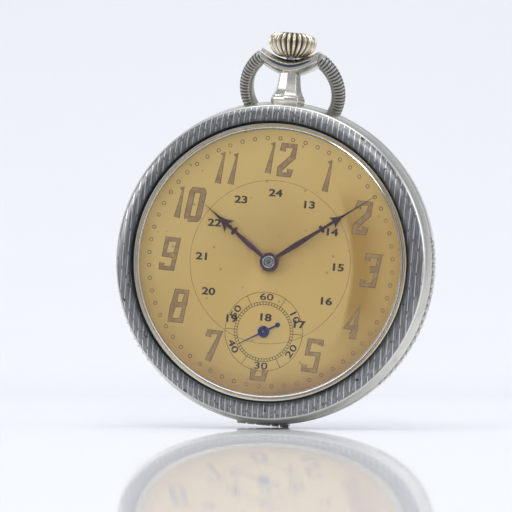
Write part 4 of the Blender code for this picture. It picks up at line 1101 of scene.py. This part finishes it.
pins = [pivot_pin("pin_left", -5.2, -3.3), pivot_pin("pin_right", 3.3, 5.2)]
bow = weld("ribbed_bow", [bow] + pins)
turn_mesh(bow, on_watch(0, BOW_PIVOT_Y, STEM_HEIGHT), LEAN, "X")
fit(bow, bow_silver, "bow_body", "case_silver", "bow")

# %% [markdown]
# ## Back cover and cuvette
#
# The hinged back is a shallow dish with a flat middle, and inside it a thinner dust cover guards the
# movement. Both are turned smooth; their hinge tubes share one pin with the band's.

# %% Back cover and cuvette
cover_outside = [(0, 0.0), (9, 0.0), (11, 0.03), (14, 0.15), (17, 0.4)]
cover_outside += [(20, 0.84), (22, 1.2), (23.2, 1.5)]
cover_rim = [(23.9, 1.78), (24.25, 2.05), (24.3, 2.3), (22.9, 2.3), (22.8, 1.9)]
cover_inside = [(20, 1.32), (17, 0.85), (13, 0.56), (9, 0.45), (0, 0.45)]
cover = turn("back_shell", cover_outside + cover_rim + cover_inside, 192)
block_cut(cover, (-2.55, -3.2, -25.5), (2.55, -1.9, -22.6))
tubes = [hinge_tube("cover_knuckle", 2.65, 4.0), hinge_tube("cover_knuckle", -4.0, -2.65)]
cover = weld("back_shell", [cover] + tubes)
fit(cover, case_silver, "cover_body", "case_silver", "back_cover")

cuvette_outside = [(0, 0.98), (9, 0.98), (13, 1.1), (17, 1.28)]
cuvette_outside += [(20, 1.62), (22.3, 1.98), (22.5, 2.1), (22.5, 2.32)]
cuvette_inside = [(21.5, 2.32), (19, 1.9), (17, 1.62), (13, 1.4), (9, 1.3), (0, 1.3)]
cuvette = turn("dust_cover", cuvette_outside + cuvette_inside, 160)
tubes = [hinge_tube("cuvette_knuckle", 1.35, 2.45), hinge_tube("cuvette_knuckle", -2.45, -1.35)]
cuvette = weld("dust_cover", [cuvette] + tubes)
fit(cuvette, case_silver, "cuvette_body", "case_silver", "cuvette")

# %% [markdown]
# ## Movement
#
# The wheels, bridges and screws of the movement keep their shapes from the frame. Each gets the
# finish that its record slot names.

# %% Movement finishes
BY_SLOT = {
    "case_silver": case_silver,
    "bezel_niello": niello,
    "crown_silver": crown_silver,
    "crystal_glass": crystal_glass,
    "dial_gilt": gilt,
    "movement_nickel": striped_nickel,
    "wheel_brass": wheel_brass,
    "polished_steel": bright_steel,
    "hand_steel": purple_steel,
    "blue_steel": blue_steel,
    "ruby": ruby,
}
for part in frame["record"]["subparts"]:
    node = frame["nodes"][part["node"]]
    node.data.materials.clear()
    node.data.materials.append(BY_SLOT[part["material_slot"]])

# %% [markdown]
# ## Camera
#
# The camera stands 12 degrees to the right of straight on, level with the dial, and is rolled a few
# degrees because the watch leans. A long lens keeps the circles true.

# %% Camera
azimuth, elevation, roll = math.radians(11.925), math.radians(-1.004), math.radians(5.0)
distance, aside, lift = 428.7 * MM, 2.088 * MM, -0.928 * MM
level_share = math.cos(elevation)
towards = Vector(
    (math.sin(azimuth) * level_share, -math.cos(azimuth) * level_share, math.sin(elevation))
)
level = (-towards).cross(Vector((0, 0, 1))).normalized()
upright = level.cross(-towards).normalized()
right = math.cos(roll) * level + math.sin(roll) * upright
up = -math.sin(roll) * level + math.cos(roll) * upright

camera_data = bpy.data.cameras.new("studio_camera")
camera_data.lens = 200
camera_data.sensor_width = 36
camera = bpy.data.objects.new("studio_camera", camera_data)
bpy.context.scene.collection.objects.link(camera)
spot = on_watch(0, 0, DIAL_TOP) + towards * distance - right * aside - up * lift
axes = Matrix((right, up, towards)).transposed().to_4x4()
camera.matrix_world = Matrix.Translation(spot) @ axes
bpy.context.scene.camera = camera

# %% [markdown]
# ## Studio
#
# The watch stands on a glossy white sweep that curves up behind it. Large soft lamps above and to
# the sides light it, and their edges draw the highlights on the silver.

# %% Studio sweep
ground_point = on_watch(0, 0, 5) - up * 25.06 * MM
sweep_line = [(-0.9, 0.0), (0.1, 0.0)]
bend = [math.radians(a) for a in range(10, 91, 10)]
sweep_line += [(0.1 + 0.7 * math.sin(a), 0.7 - 0.7 * math.cos(a)) for a in bend]
sweep_line += [(0.8, 1.4)]
path = [ground_point - towards * away + up * rise - right * 1.2 for away, rise in sweep_line]
sweep = draw("studio_sweep", path)
bpy.ops.mesh.extrude_region_move(TRANSFORM_OT_translate={"value": right * 2.4})
bpy.ops.object.mode_set(mode="OBJECT")
bpy.ops.object.transform_apply(location=True)
bpy.ops.object.shade_smooth()
acrylic, tree, shader, place = start("white_gloss_acrylic")
cloudy = add(tree, "TexNoise", {"Vector": place, "Scale": 3.0})
rough = add(tree, "MapRange", {"Value": cloudy, "To Min": 0.03, "To Max": 0.07})
tree.links.new(rough.outputs[0], shader.inputs["Roughness"])
shader.inputs["Base Color"].default_value = srgb("ECEDF0")
sweep.data.materials.append(acrylic)

# %% [markdown]
# ### Light
#
# Four square soft lamps stand round the watch, the largest overhead and a weak one in front so that
# the upward faces of the pendant catch it. A pale tent gives the silver something even to reflect.

# %% Lamps and surroundings
def soft_lamp(name, side, high, near, size, watts, tone="FFFFFF"):
    """A square soft lamp placed as the camera sees it: to the right, up and towards the camera."""
    lamp_data = bpy.data.lights.new(name, "AREA")
    lamp_data.energy = watts
    lamp_data.size = size
    lamp_data.color = srgb(tone)[:3]
    lamp = bpy.data.objects.new(name, lamp_data)
    bpy.context.scene.collection.objects.link(lamp)
    where = right * side + up * high + towards * near
    lamp.matrix_world = Matrix.Translation(where) @ where.to_track_quat("Z", "Y").to_matrix().to_4x4()
    return lamp


soft_lamp("lamp_above", 0.0, 0.75, 0.1, 0.7, 4.0)
soft_lamp("lamp_left", -0.9, 0.35, 0.15, 0.45, 2.2)
soft_lamp("lamp_right", 0.8, 0.3, 0.15, 0.5, 1.8, "F4F7FF")
soft_lamp("lamp_front", 0.12, 0.55, 0.8, 0.3, 1.1)

world = bpy.data.worlds.new("white_tent")
bpy.context.scene.world = world
world.use_nodes = True
tent = world.node_tree
tent.nodes["Background"].inputs["Color"].default_value = srgb("E9EDF4")
tent.nodes["Background"].inputs["Strength"].default_value = 0.54
bpy.context.scene.view_settings.view_transform = "Standard"
